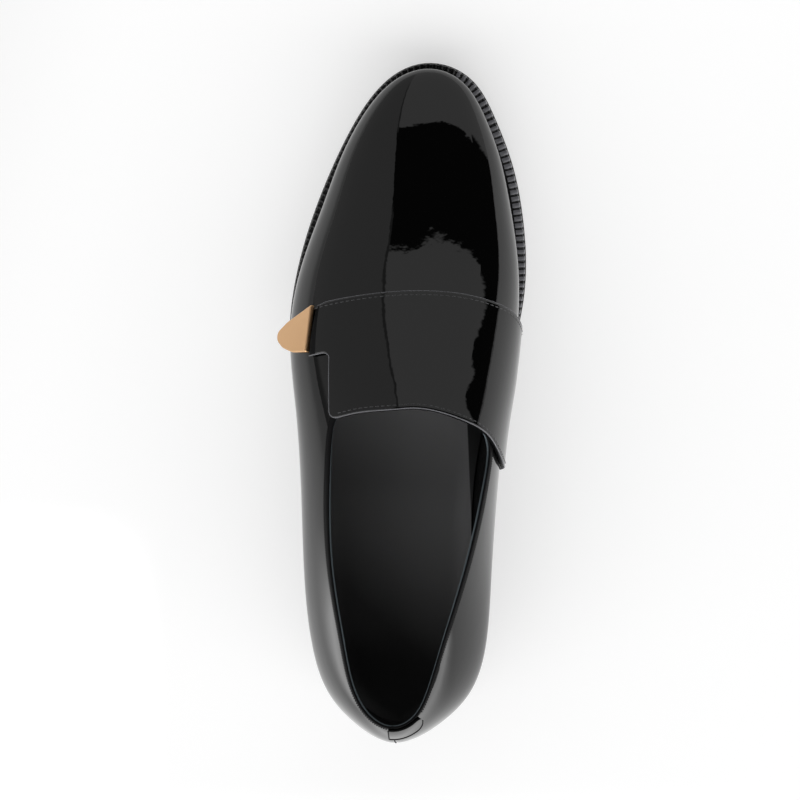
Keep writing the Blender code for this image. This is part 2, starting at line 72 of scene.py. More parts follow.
# Sizes shared with the solids, in millimetres and radians. Turns are those of an Outline, shares run
# up the wall from the widest line to the collar.
GAP = 0.3
UPPER_WALL = 2.0
STRAP_THICKNESS = 1.6
BACK_STRIP_THICKNESS = 1.0
TIP_THICKNESS = 1.8
OUTSOLE_THICKNESS = 4.5
WELT_THICKNESS = 3.5
TOE_SPRING = 9.0
HEEL_SEAT = 15.0
FLAT_FRONT = 72.0
FLAT_BACK = 18.0
SEAT_FRONT = -92.0
SOLE_TOE = 133.0
HEEL_BREAST = -66.0
TOP_LIFT = 6.0
HEEL_INSET = 0.8
HEEL_TAPER = 2.0
WELT_UNDER = 2.2
WELT_EDGE = 0.3
RIB_PITCH = 2.7
RIB_DEPTH = 0.9
RIB_REACH = 3.2
RIB_BACK = 6.0
TUCK_ANGLE = math.radians(72)
TAB_END = math.radians(34.5)
FLAP_EDGE = math.radians(44)
FLAP_CORNER = math.radians(5)
FLAP_ROUND = 3.0
TAB_SLANT = 0.075
FLAP_SLANT = 0.06
FLAP_SLANT_REACH = 0.35
STRAP_FOOT = math.pi + 0.76 * TUCK_ANGLE
TAB_WIDTH = 19.0
TIP_REST = math.radians(27)
BACK_STRIP_START = -0.24
BACK_STRIP_END = 0.03
BACK_STRIP_LOW = 0.58
BACK_STRIP_HIGH = 0.95
BACK_STRIP_ROUND = 0.06
COLUMN_CROWDING = 1.85

# Upper: width and depth of the waves in its coat; how much thinner the topline is at the heel and over
# what turn; depth and width of the back seam's groove, radius and first share of the seam in it;
# strip under the lining's edge
PATENT_WAVES = ((14.0, 0.045), (5.0, 0.025), (2.0, 0.008))
HEEL_THINNING = 0.7
HEEL_SPAN = 1.1
BACK_SEAM_DEPTH = 0.3
BACK_SEAM_WIDTH = 0.012
SEAM_RADIUS = 0.25
SEAM_START = 0.02
LINING_BAND = 1.0

# Strap: rounding where tab meets flap, end of the tab painted matt black as shade beside the metal tip
# in radians, width of the front bead as a share of the rear one; ease of the metal tip's lower rim
FLAP_FILLET = 2.6
TAB_SHADE_END = 0.055
FRONT_BEAD = 0.65
TIP_FOOT = 0.3

# Stitches: how far a row ends from the strap's ends, in radians, the turns where the topline's rows
# start and end, the part of the pitch that one of its stitches fills, and how far out the last ring
# of a stitch lies as a share of its half length
STITCH_MARGIN = 0.05
TOPLINE_START = 0.02
TOPLINE_END = 0.26
TOPLINE_STITCH = 0.62
STITCH_END = 0.98

# Sole, heel and lift: radius of their rims, and the flat strip inside a rim in such radii; thickness
# of the heel's leather lifts and depth of the lines between them
SOLE_ROUND = 0.8
HEEL_ROUND = 0.25
LIFT_ROUND = 0.3
RIM_STRIP = 4
STACK_LIFT = 3.0
STACK_LINE = 0.06

# Welt: half width of a groove, ease of the lower rim, where the ribs rise from and stop, how far the
# rim leans in, distances of its rails from the edge, and the turn from which a painted highlight lightens
# the crests
GROOVE_HALF = 0.5
WELT_EASE = 0.4
RIB_FOOT = 0.8
RIB_TOP = 0.35
RIB_LEAN = 0.25
RIB_RAILS = (0.35, 0.8, 1.4, 2.0, 2.6, RIB_REACH)
RIB_EASE = 0.12
RIB_CREST = 0.35
RIB_HIGHLIGHT_TURN = 1.06 * math.pi
WELT_RIM_RAIL = 3

# Sock: its inset, height over the welt and thickness, how high, from how far and at what least width
# it dishes up to the wall, where its painted shade and where its painted light are full along a slant
# towards the toe and inner side, and the line past which the wall's shade is painted on it in black
SOCK_INSET = 0.8
SOCK_PROUD = 1.0
SOCK_THICKNESS = 0.9
SOCK_DISH = 2.2
SOCK_DISH_REACH = 9.0
SOCK_DISH_WIDTH = 40.0
SOCK_SHADE_SLANT = 0.9
SOCK_FULL_SHADE = -95.0
SOCK_FULL_LIGHT = 4.0
SOCK_WALL_SHADE = 24.6
SOCK_WALL_SHADE_SLOPE = 0.0465
SOCK_WALL_SHADE_EDGE = 0.4

# Strength of the studio's lights, as a share of paper white
FRONT_LIGHT = 0.68
SIDE_LIGHT = 0.48
REAR_LIGHT = 2.4
SEAM_LIGHT = 0.2
UNLIT = 0.02
FLOOR_GLOW = 0.49
FLOOR_DIM = 0.1
FLOOR_REAR = 2.6
FLOOR_SIDE = 2.8

# Where the floor's glow changes, from and to: beside the outer heel, across and along, behind the
# shoe, and out from the middle of an oval that is longer than wide
FLOOR_HEEL_ACROSS = (-95.0, -175.0)
FLOOR_HEEL_ALONG = (-40.0, -110.0)
FLOOR_BEHIND = (-155.0, -250.0)
FLOOR_FADE = (650.0, 880.0)
FLOOR_MIDDLE = (450.0, -550.0)
FLOOR_STRETCH = 2.0

# Mesh: step that slopes are taken over, least half width, welding distance, and the angle from which
# an edge stays sharp
NUDGE = 1e-3
LEAST_WIDTH = 1e-6
WELD = 0.005
SMOOTH_ANGLE = math.radians(40)

# Mesh: rows of the strap lie closer within a margin of its edges, over the flap's length; other steps
EDGE_MARGIN = 4.0
FINE_STEP = 0.75
COARSE_STEP = 1.5
FLAP_LENGTH = 25.0
CORNER_START = 0.35
BEAD_STEP = 0.5
WELT_STEP = 0.3

# Mesh: counts
UPPER_COLUMNS = 420
TUCK_ROWS = 12
RAISED_ROWS = 96
BAND_ROWS = 4
ROLL_ROWS = 10
INNER_STEP = 3
SLAB_STATIONS = 160
BEAD_SIDES = 10
EDGE_POINTS = 5
SOCK_COLUMNS = 40
LENGTH_STEPS = 6000
CORNER_POINTS = 20
TAB_COLUMNS = 24
FLAP_CORNER_COLUMNS = 9
BAND_COLUMNS = 130
BACK_STRIP_COLUMNS = 40
BACK_STRIP_ROWS = 16
SEAM_POINTS = 60
STRAP_PATH = 500
TOPLINE_PATH = 2000
STITCH_SIDES = 8
STITCH_RINGS = 7
FLOOR_POINTS = 96

# Cross-sections of the last, heel to toe. lateral and medial are the widest line seen from above,
# rise is its height over the welt, crown the height of the ridge over it, skew moves the ridge
# sideways as a share of the half width, full swells the shoulders, wall makes the sides upright
# (0 is a round arch), tucks pull the foot edge in.
Section = namedtuple("Section", "y lateral medial rise crown skew full wall tuck_lateral tuck_medial")
LAST = (
    Section(-133, -1.5, -1.5, 19.0, 0.0, -0.05, 0.00, 0.50, 4.5, 4.5),
    Section(-126, -17.6, 15.2, 19.0, 33.5, -0.05, 0.00, 0.55, 4.5, 4.5),
    Section(-115, -27.8, 26.2, 19.0, 38.8, -0.05, 0.00, 0.60, 4.5, 4.5),
    Section(-95, -34.8, 33.2, 19.0, 40.2, -0.04, 0.00, 0.62, 4.5, 5.0),
    Section(-70, -37.8, 35.2, 19.0, 45.5, 0.06, 0.00, 0.60, 5.0, 7.0),
    Section(-35, -39.6, 37.6, 18.0, 47.6, 0.24, 0.00, 0.22, 4.5, 9.0),
    Section(-5, -42.0, 40.8, 16.0, 41.1, 0.20, 0.00, 0.03, 3.0, 7.0),
    Section(25, -44.6, 44.6, 13.0, 34.5, 0.14, 0.04, 0.00, 2.5, 3.5),
    Section(50, -40.9, 45.6, 11.0, 28.2, 0.10, 0.06, 0.00, 2.5, 2.5),
    Section(75, -32.3, 42.5, 10.0, 22.9, 0.06, 0.08, 0.00, 2.5, 2.5),
    Section(95, -24.7, 38.2, 9.5, 18.3, 0.03, 0.10, 0.00, 2.5, 2.5),
    Section(110, -16.9, 32.8, 9.0, 13.8, 0.01, 0.12, 0.00, 2.5, 2.5),
    Section(122, -7.5, 26.2, 8.0, 8.2, 0.00, 0.12, 0.00, 2.0, 2.0),
    Section(130, 10.2, 10.2, 7.0, 0.0, 0.00, 0.12, 0.00, 1.5, 1.5),
)

# Outer edge of the sole and welt, and the collar with the throat, both seen from above
Side = namedtuple("Side", "y lateral medial")
SOLE = (
    Side(-130, -1.4, -1.4),
    Side(-124.5, -18.0, 15.6),
    Side(-115, -26.6, 24.2),
    Side(-95, -32.0, 30.0),
    Side(-65, -34.5, 30.0),
    Side(-30, -37.0, 30.5),
    Side(0, -42.5, 36.5),
    Side(22, -45.8, 43.8),
    Side(45, -44.0, 48.2),
    Side(70, -37.5, 47.5),
    Side(92, -28.8, 43.4),
    Side(110, -19.6, 36.8),
    Side(124, -9.2, 29.2),
    Side(133, 10.4, 10.4),
)
COLLAR = (
    Side(-124, -2.0, -2.0),
    Side(-118, -13.3, 8.3),
    Side(-107, -18.6, 12.8),
    Side(-90, -22.0, 18.0),
    Side(-62, -26.5, 26.6),
    Side(-35, -27.5, 33.0),
    Side(-20, -27.4, 35.2),
    Side(-12, -26.8, 32.6),
    Side(-6, -24.2, 24.0),
    Side(-3, -16.5, 15.5),
    Side(-1.5, 5.0, 5.0),
)

# Front and rear edges of the strap by the angle round the section, in degrees from lateral
Edge = namedtuple("Edge", "angle front rear")
STRAP = (
    Edge(34, 36.0, -8.0),
    Edge(47, 38.2, -7.0),
    Edge(59, 39.8, -5.0),
    Edge(77, 41.5, -3.7),
    Edge(89, 41.9, -3.2),
    Edge(102, 41.6, -4.9),
    Edge(117, 40.3, -8.2),
    Edge(136, 37.4, -13.4),
    Edge(150, 34.8, -19.0),
    Edge(168, 30.4, -24.6),
    Edge(180, 28.2, -26.0),
    Edge(252, 24.0, -28.2),
)

# Metal tip: corners along the slope from its base and across it towards the toe
Corner = namedtuple("Corner", "along across radius")
TIP = (
    Corner(-2.6, 9.7, 0.6),
    Corner(13.3, 4.8, 14.0),
    Corner(22.2, 0.2, 3.2),
    Corner(16.2, -5.2, 8.0),
    Corner(9.5, -7.9, 10.0),
    Corner(0.2, -8.9, 0.6),
)

# Soft swells in the leather of toe and strap: centre in the plan, spread across, behind and ahead,
# and height
Swell = namedtuple("Swell", "x y across behind ahead height")
SWELLS = (
    Swell(0.0, 73.0, 6.0, 12.0, 26.0, 0.30),
    Swell(32.0, 75.0, 7.0, 14.0, 24.0, 0.34),
    Swell(4.0, 97.0, 8.0, 14.0, 7.0, 0.12),
    Swell(24.0, 90.0, 7.0, 16.0, 8.0, 0.22),
    Swell(28.0, 8.0, 12.0, 9.0, 25.0, 1.2),
)

# Panels of the studio, each laid over those before it. A direction is given by its angle from straight
# up, tilt, split into across, towards the inner side, and along, towards the toe. Each bound gives the
# degrees of one of these where the panel starts and where it is full.
Panel = namedtuple("Panel", "light bounds")
PANELS = (
    Panel(SIDE_LIGHT, (("across", -20, -22.2),)),
    Panel(REAR_LIGHT, (("along", -16, -24), ("tilt", 24, 34))),
    Panel(UNLIT, (("across", -22.6, -21.8), ("across", 57, 56), ("along", 28.9, 28.1),
                  ("along", -24, -16))),
    Panel(UNLIT, (("across", 52, 53), ("across", 92, 86), ("along", 31, 29.5), ("along", -12, 0))),
    Panel(SEAM_LIGHT, (("across", -22.6, -21.8), ("across", -20.2, -21), ("along", 26, 28),
                       ("along", 70, 50))),
    Panel(SEAM_LIGHT, (("across", -80, -86), ("along", -2, 4), ("along", 34, 26))),
)


def linear(code):
    """Turn an sRGB hex colour into linear red, green and blue."""
    parts = [int(code[i:i + 2], 16) / 255 for i in (1, 3, 5)]
    return [c / 12.92 if c <= 0.04045 else ((c + 0.055) / 1.055) ** 2.4 for c in parts]


def size_property(name, description, millimetres):
    """A length that shows in the panel with the scene's units."""
    return bpy.props.FloatProperty(name=name, description=description, default=millimetres * MM,
                                   min=0, precision=5, unit="LENGTH")


def colour_property(name, description, code):
    """A colour of the panel, given as an sRGB hex code."""
    return bpy.props.FloatVectorProperty(name=name, description=description, default=linear(code),
                                         min=0, max=1, size=3, subtype="COLOR")


class LoaferSizes(bpy.types.PropertyGroup):
    """Sizes of leather, edges and stitches."""
    leather: size_property("Upper leather", "Thickness of the patent leather", 1.1)
    lining: size_property("Lining leather", "Thickness of the lining", 0.85)
    roll: size_property("Topline roll", "Height of the folded topline's round edge", 1.9)
    topline_band: size_property("Topline band", "Height of the matt band under the topline's fold", 1.2)
    lining_drop: size_property("Lining drop", "How far the lining's edge lies under the topline", 0.8)
    cut_edge: size_property("Edge bead", "Radius of the bead of paint on the strap's cut edges", 0.24)
    stitch_pitch: size_property("Stitch pitch", "Distance from one stitch to the next", 2.3)
    stitch_length: size_property("Stitch length", "Length of one stitch that shows", 1.7)
    thread: size_property("Thread", "Width of the thread", 0.42)
    topline_pitch: size_property("Topline stitch pitch", "Distance between stitches under the topline", 1.0)
    stitch_inset: size_property("Stitch inset", "Distance from an edge to its row of stitches", 1.5)
    tip_bevel: size_property("Tip bevel", "Width of the metal tip's eased edge", 0.7)


class LoaferColours(bpy.types.PropertyGroup):
    """Colours of the finishes."""
    patent: colour_property("Patent leather", "Dyed leather under the clear coat", "#020202")
    fold: colour_property("Topline fold", "Turned edge along the topline", "#060607")
    lining: colour_property("Lining", "Lining leather", "#101011")
    # Partly a painted highlight: the lining edge's blue-grey stands in for light on its rounded edge
    lining_edge_highlight: colour_property("Lining edge", "Raw top edge of the lining", "#4c565b")
    # Painted light and shade: the sock's grey is light painted on its front, its heel colour is painted
    # shade
    sock: colour_property("Sock lining", "Leather under the foot", "#787879")
    sock_heel_shade: colour_property("Sock heel lining", "Burnished leather under the heel", "#202021")
    thread: colour_property("Thread", "Waxed sewing thread", "#2a2a2c")
    # Partly a painted highlight: the edge paint's grey stands in for light on the strap's rounded cut edges
    edge: colour_property("Cut edge", "Paint on the strap's cut edges", "#5c5c60")
    welt: colour_property("Welt", "Dressed welt leather", "#0c0c0d")
    # Painted highlight: the lighter grey of the ribs' crests on the inner side stands in for light on them
    crest_highlight: colour_property("Welt ribs", "Rubbed crests of the welt's ribs", "#6a6a6e")
    sole: colour_property("Sole", "Dressed sole leather", "#1b1a1a")
    heel: colour_property("Heel", "Polished stacked heel", "#131314")
    rubber: colour_property("Top lift", "Moulded rubber", "#1a1a1a")
    gold: colour_property("Metal tip", "Satin gold plating", "#d4ab80")
    floor: colour_property("Floor", "Matt studio floor", "#c8c8c8")


class LoaferStage(bpy.types.PropertyGroup):
    """Camera and studio."""
    camera_height: size_property("Camera height", "Height of the lens over the floor", 1500)
    camera_medial: size_property("Camera to medial", "Lens position towards the inner side", 52)
    camera_toe: size_property("Camera to toe", "Lens position towards the toe", 31.35)
    view_width: size_property("View width", "Width of the floor that the picture shows", 312)
    floor_radius: size_property("Floor radius", "Radius of the round studio floor", 6000)


def mm(length):
    """A panel length in the millimetres that the shapes use."""
    return length / MM


def unit(vectors):
    """Vectors scaled to a length of one."""
    return vectors / np.linalg.norm(vectors, axis=-1, keepdims=True)


def raised(plan, height):
    """Points of the plan set at their heights."""
    return np.concatenate([plan, np.expand_dims(height, -1)], axis=-1)


def natural_spline(knots, values):
    """Return a function: the natural cubic spline through values at rising knots."""
    knots = np.asarray(knots, float)
    values = np.asarray(values, float)
    count = len(knots)
    step = np.diff(knots)
    slope = np.diff(values) / step
    matrix = np.eye(count)
    right = np.zeros(count)
    for i in range(1, count - 1):
        matrix[i, i - 1:i + 2] = step[i - 1], 2 * (step[i - 1] + step[i]), step[i]
        right[i] = 6 * (slope[i] - slope[i - 1])
    bend = np.linalg.solve(matrix, right)

    def value_at(where):
        where = np.clip(np.asarray(where, float), knots[0], knots[-1])
        i = np.clip(np.searchsorted(knots, where) - 1, 0, count - 2)
        before = (knots[i + 1] - where) / step[i]
        after = (where - knots[i]) / step[i]
        curl = (before ** 3 - before) * bend[i] + (after ** 3 - after) * bend[i + 1]
        return before * values[i] + after * values[i + 1] + curl * step[i] ** 2 / 6

    return value_at


class Outline:
    """A closed outline seen from above, round at heel and toe.

    turn runs from 0 at the heel along the lateral side to pi at the toe, and back along the
    medial side to a full turn.
    """

    def __init__(self, rows):
        self.heel = rows[0].y
        self.toe = rows[-1].y
        self.turns = self.turn_at(np.array([row.y for row in rows], float))
        self.across = self.loop([row.lateral for row in rows], [row.medial for row in rows])

    def turn_at(self, y):
        share = (np.asarray(y, float) - self.heel) / (self.toe - self.heel)
        return np.arccos(np.clip(1 - 2 * share, -1, 1))

    def loop(self, lateral, medial):
        """Return a periodic spline through one value for each row and side."""
        turns = np.concatenate([self.turns, FULL_TURN - self.turns[-2:0:-1]])
        values = np.concatenate([lateral, medial[-2:0:-1]])
        turns = np.concatenate([turns - FULL_TURN, turns, turns + FULL_TURN])
        spline = natural_spline(turns, np.tile(values, 3))
        return lambda turn: spline(np.mod(turn, FULL_TURN))

    def along(self, turn):
        return self.heel + (self.toe - self.heel) * (1 - np.cos(turn)) / 2

    def point(self, turn):
        return np.stack([self.across(turn), self.along(turn)], axis=-1)

    def normal(self, turn):
        """Return the outward unit normal in the plan."""
        run = unit(self.point(np.asarray(turn) + NUDGE) - self.point(np.asarray(turn) - NUDGE))
        return np.stack([-run[..., 1], run[..., 0]], axis=-1)

    def inset(self, turn, distance):
        return self.point(turn) - self.normal(turn) * np.expand_dims(distance, -1)


def column(name):
    """One value of every section of the last."""
    return [getattr(row, name) for row in LAST]


GIRTH = Outline(LAST)
SOLE_EDGE = Outline(SOLE)
COLLAR_EDGE = Outline(COLLAR)
RISE = natural_spline(column("y"), column("rise"))
SKEW = natural_spline(column("y"), column("skew"))
FULL = natural_spline(column("y"), column("full"))
WALL = natural_spline(column("y"), column("wall"))
CROWN = natural_spline(GIRTH.turns, column("crown"))
TUCK = GIRTH.loop(column("tuck_lateral"), column("tuck_medial"))
STRAP_FRONT = natural_spline([math.radians(row.angle) for row in STRAP], [row.front for row in STRAP])
STRAP_REAR = natural_spline([math.radians(row.angle) for row in STRAP], [row.rear for row in STRAP])


def sole_bottom(y):
    """Height of the outsole's underside: toe spring, flat forefoot, arch and heel seat."""
    y = np.asarray(y, float)
    spring = np.clip((y - FLAT_FRONT) / (SOLE_TOE - FLAT_FRONT), 0, None)
    arch = np.clip((FLAT_BACK - y) / (FLAT_BACK - SEAT_FRONT), 0, 1)
    return TOE_SPRING * spring ** 2 + HEEL_SEAT * arch ** 2 * (3 - 2 * arch)


def sole_top(y):
    return sole_bottom(y) + OUTSOLE_THICKNESS


def welt_top(y):
    return sole_top(y) + WELT_THICKNESS


def girth_height(y):
    return welt_top(y) + RISE(y)


def section(y):
    """Return middle, half width, ridge shift, crown, fullness and wall of the section at y."""
    turn = GIRTH.turn_at(y)
    lateral = GIRTH.across(turn)
    medial = GIRTH.across(FULL_TURN - turn)
    half = np.maximum((medial - lateral) / 2, LEAST_WIDTH)
    return (lateral + medial) / 2, half, SKEW(y) * half, CROWN(turn), FULL(y), WALL(y)


def skin_height(x, y):
    """Height of the upper's outer skin over a point of the plan inside the widest line."""
    middle, half, shift, crown, full, wall = section(y)
    offset = x - middle - shift
    root = np.sqrt(np.maximum(half ** 2 - 4 * shift * offset, 0))
    share = np.clip(2 * offset / (half + root), -1, 1)
    arch = np.sqrt(1 - share ** 2)
    return girth_height(y) + crown * arch * (1 - wall + wall * arch) * (1 + full * share ** 2)


def tucked_point(turn, share):
    """Point on the skin under the widest line; share runs from 0 there to 1 at the foot."""
    top = GIRTH.point(turn)
    angle = share * TUCK_ANGLE
    inward = TUCK(turn) * (1 - np.cos(angle)) / (1 - math.cos(TUCK_ANGLE))
    plan = top - GIRTH.normal(turn) * np.expand_dims(inward, -1)
    foot = GIRTH.inset(turn, TUCK(turn))
    high = girth_height(top[..., 1])
    drop = high - welt_top(foot[..., 1]) - GAP
    height = high - drop * np.sin(angle) / math.sin(TUCK_ANGLE)
    return raised(plan, height)


def collar_turn(turn):
    """Pair a turn of the widest line with one of the collar, crowding columns to the throat."""
    turn = np.mod(turn, FULL_TURN)
    medial = turn > math.pi
    side = np.where(medial, FULL_TURN - turn, turn)
    paired = math.pi * (1 - (1 - side / math.pi) ** COLUMN_CROWDING)
    return np.where(medial, FULL_TURN - paired, paired)


def raised_point(turn, share):
    """Point on the skin from the widest line (share 0) to the collar edge (share 1)."""
    low = GIRTH.point(turn)
    high = COLLAR_EDGE.point(collar_turn(turn))
    plan = low + (high - low) * np.expand_dims(share, -1)
    return raised(plan, skin_height(plan[..., 0], plan[..., 1]))


def band_point(y, angle):
    """Point on the skin round one section: 0 at the lateral widest line, pi at the medial one.

    Past pi it goes on down the medial side towards the welt.
    """
    y = np.asarray(y, float)
    angle = np.asarray(angle, float)
    middle, half, shift, crown, full, wall = section(y)
    over = np.clip(angle, 0, math.pi)
    share = -np.cos(over)
    x = middle + half * share + shift * (1 - share ** 2)
    arch = np.sin(over)
    z = girth_height(y) + crown * arch * (1 - wall + wall * arch) * (1 + full * share ** 2)
    arc = np.stack(np.broadcast_arrays(x, y, z), axis=-1)
    under = np.clip((angle - math.pi) / TUCK_ANGLE, 0, 1)
    side = tucked_point(FULL_TURN - GIRTH.turn_at(y), under)
    return np.where(np.expand_dims(angle > math.pi, -1), side, arc)


def surface_normal(surface, first, second):
    """Outward unit normal of surface(first, second)."""
    run = surface(first + NUDGE, second) - surface(first - NUDGE, second)
    climb = surface(first, second + NUDGE) - surface(first, second - NUDGE)
    return unit(np.cross(climb, run))


def offset_grid(surface, first, second, distance):
    """Points of a surface(first, second) moved outward along its normal."""
    lift = np.expand_dims(np.asarray(distance, float), -1)
    return surface(first, second) + surface_normal(surface, first, second) * lift


def grid_faces(rows, columns, closed_rows=False, closed_columns=False):
    """Quads of a grid stored row by row, each way closed or open."""
    i = np.arange(rows if closed_rows else rows - 1)[:, None]
    j = np.arange(columns if closed_columns else columns - 1)[None, :]
    below = i * columns
    above = (i + 1) % rows * columns
    ahead = (j + 1) % columns
    quads = np.stack(np.broadcast_arrays(below + j, below + ahead, above + ahead, above + j), axis=-1)
    return quads.reshape(-1, 4).tolist()


def tube_faces(rings, sides):
    """Faces of a tube of rings with a flat face on each end."""
    ends = [list(range(sides))[::-1], [(rings - 1) * sides + i for i in range(sides)]]
    return grid_faces(rings, sides, False, True) + ends


def quarter_round(radius):
    """Insets and heights of a rim's rounding, from the flat face to the upright one."""
    angles = [i / EDGE_POINTS * math.pi / 2 for i in range(EDGE_POINTS + 1)]
    return [(radius * (1 - math.sin(angle)), radius * (1 - math.cos(angle))) for angle in angles]


def walk(path):
    """Distance along a path of each of its points, and a function for values at a distance."""
    run = np.linalg.norm(np.diff(path, axis=0), axis=1)
    distance = np.concatenate([[0], np.cumsum(run)])

    def values_at(values, where):
        return np.stack([np.interp(where, distance, column) for column in values.T], axis=1)

    return distance, values_at


def add_piece(name, vertices, faces, materials, replaced=None, faces_of=None, closed=True):
    """Make a smooth piece from points in millimetres; it rides on the shoe's one body.

    faces_of gives each face the index of its material. A closed piece gets its ends welded and its
    faces turned outward.
    """
    mesh = bpy.data.meshes.new(name)
    mesh.from_pydata((np.asarray(vertices, float).reshape(-1, 3) * MM).tolist(), [], faces)
    for material in materials:
        mesh.materials.append(material)
    if faces_of is not None:
        mesh.polygons.foreach_set("material_index", np.asarray(faces_of, np.int32))
    if closed:
        work = bmesh.new()
        work.from_mesh(mesh)
        bmesh.ops.remove_doubles(work, verts=work.verts, dist=WELD * MM)
        bmesh.ops.dissolve_degenerate(work, edges=work.edges, dist=WELD * MM)
        bmesh.ops.recalc_face_normals(work, faces=work.faces)
        work.to_mesh(mesh)
        work.free()
    mesh.shade_smooth()
    mesh.set_sharp_from_angle(angle=SMOOTH_ANGLE)
    mesh.update()
    piece = bpy.data.objects.new(name, mesh)
    bpy.context.scene.collection.objects.link(piece)
    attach(piece, BODY)
    if replaced:
        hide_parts(replaced)
    return piece


def add_node(tree, kind, inputs=None, **settings):
    """Add a node with its settings; an input is a value, or an output to link it to."""
    node = tree.nodes.new(kind)
    for name, value in settings.items():
        setattr(node, name, value)
    for name, value in (inputs or {}).items():
        if isinstance(value, bpy.types.NodeSocket):
            tree.links.new(value, node.inputs[name])
        else:
            node.inputs[name].default_value = value
    return node


def per_metre(millimetres):
    """Texture scale that repeats once in a real size.

    Pores, fibres, the thread's twist and brushed lines are finer than the picture can show, so they are
    drawn several times their real width.
    """
    return 1 / (millimetres * MM)


def start_material(name, colour, **values):
    """Make a material whose shader has a colour and plain values; return it, tree, shader, places."""
    material = bpy.data.materials.new(name)
    material.use_nodes = True
    tree = material.node_tree
    shader = tree.nodes["Principled BSDF"]
    shader.inputs["Base Color"].default_value = (*colour, 1)
    for socket, value in values.items():
        shader.inputs[socket.replace("_", " ")].default_value = value
    places = add_node(tree, "ShaderNodeTexCoord").outputs["Object"]
    return material, tree, shader, places


def press_grain(tree, shader, places, width, depth, detail=3.0):
    """Press an uneven grain of a width and depth in millimetres into a surface."""
    grain = add_node(tree, "ShaderNodeTexNoise", {"Vector": places, "Scale": per_metre(width),
                                                  "Detail": detail})
    bump = add_node(tree, "ShaderNodeBump", {"Height": grain.outputs["Fac"], "Distance": depth * MM})
    tree.links.new(bump.outputs["Normal"], shader.inputs["Normal"])


def mottle(tree, shader, places, width, smooth, rough, detail=3.0):
    """Move a surface between two roughnesses in patches of a width in millimetres."""
    patches = add_node(tree, "ShaderNodeTexNoise", {"Vector": places, "Scale": per_metre(width),
                                                    "Detail": detail})
    rub = add_node(tree, "ShaderNodeMapRange", {"Value": patches.outputs["Fac"], "To Min": smooth,
                                                "To Max": rough})
    tree.links.new(rub.outputs["Result"], shader.inputs["Roughness"])


def prick_pores(tree, shader, places, spacing, depth):
    """Cover a skin with pores at a spacing and of a depth in millimetres."""
    pores = add_node(tree, "ShaderNodeTexVoronoi", {"Vector": places, "Scale": per_metre(spacing)})
    bump = add_node(tree, "ShaderNodeBump", {"Height": pores.outputs["Distance"],
                                             "Distance": depth * MM})
    tree.links.new(bump.outputs["Normal"], shader.inputs["Normal"])


def patent_leather(colours):
    """Dyed calf under a thick clear coat: near black, mirror sharp, with faint waves in the coat."""
    known = bpy.data.materials.get("patent_leather_clear_coated")
    if known:
        return known
    material, tree, shader, places = start_material(
        "patent_leather_clear_coated", colours.patent, Roughness=0.4, Specular_IOR_Level=0.0,
        Coat_Weight=1.0, Coat_Roughness=0.02, Coat_IOR=1.5)
    normal = None
    for width, depth in PATENT_WAVES:
        wave = add_node(tree, "ShaderNodeTexNoise", {"Vector": places, "Scale": per_metre(width),
                                                     "Detail": 1.0})
        bump = add_node(tree, "ShaderNodeBump", {"Height": wave.outputs["Fac"], "Distance": depth * MM})
        if normal:
            tree.links.new(normal, bump.inputs["Normal"])
        normal = bump.outputs["Normal"]
    tree.links.new(normal, shader.inputs["Normal"])
    tree.links.new(normal, shader.inputs["Coat Normal"])
    return material


def edge_paint_highlight(colours):
    """Acrylic paint on a cut leather edge: soft satin dark grey over slightly rough fibres; the grey is
    partly a painted highlight.
    """
    known = bpy.data.materials.get("leather_edge_painted")
    if known:
        return known
    material, tree, shader, places = start_material("leather_edge_painted", colours.edge, Roughness=0.25)
    press_grain(tree, shader, places, width=0.5, depth=0.03)
    return material


def folded_edge(colours):
    """Skived leather turned over an edge: matt black beside the gloss, with a fine grain."""
    known = bpy.data.materials.get("leather_folded_matt")
    if known:
        return known
    material, tree, shader, places = start_material("leather_folded_matt", colours.fold, Roughness=0.5,
                                                    Specular_IOR_Level=0.1)
    press_grain(tree, shader, places, width=0.6, depth=0.04)
    return material


def lining_leather(colours):
    """Drum-dyed lining skin: black, low satin, with a fine pore grain."""
    material, tree, shader, places = start_material("lining_leather_satin", colours.lining,
                                                    Roughness=0.55)
    prick_pores(tree, shader, places, spacing=0.8, depth=0.05)
    return material


def lining_edge_with_highlight(colours):
    """Uncoloured cut edge of the lining: a thin blue-grey fibrous line, partly a painted highlight on its
    rounded edge.
    """
    material, tree, shader, places = start_material("lining_leather_raw_edge", colours.lining_edge_highlight,
                                                    Roughness=0.6)
    press_grain(tree, shader, places, width=0.6, depth=0.05)
    return material


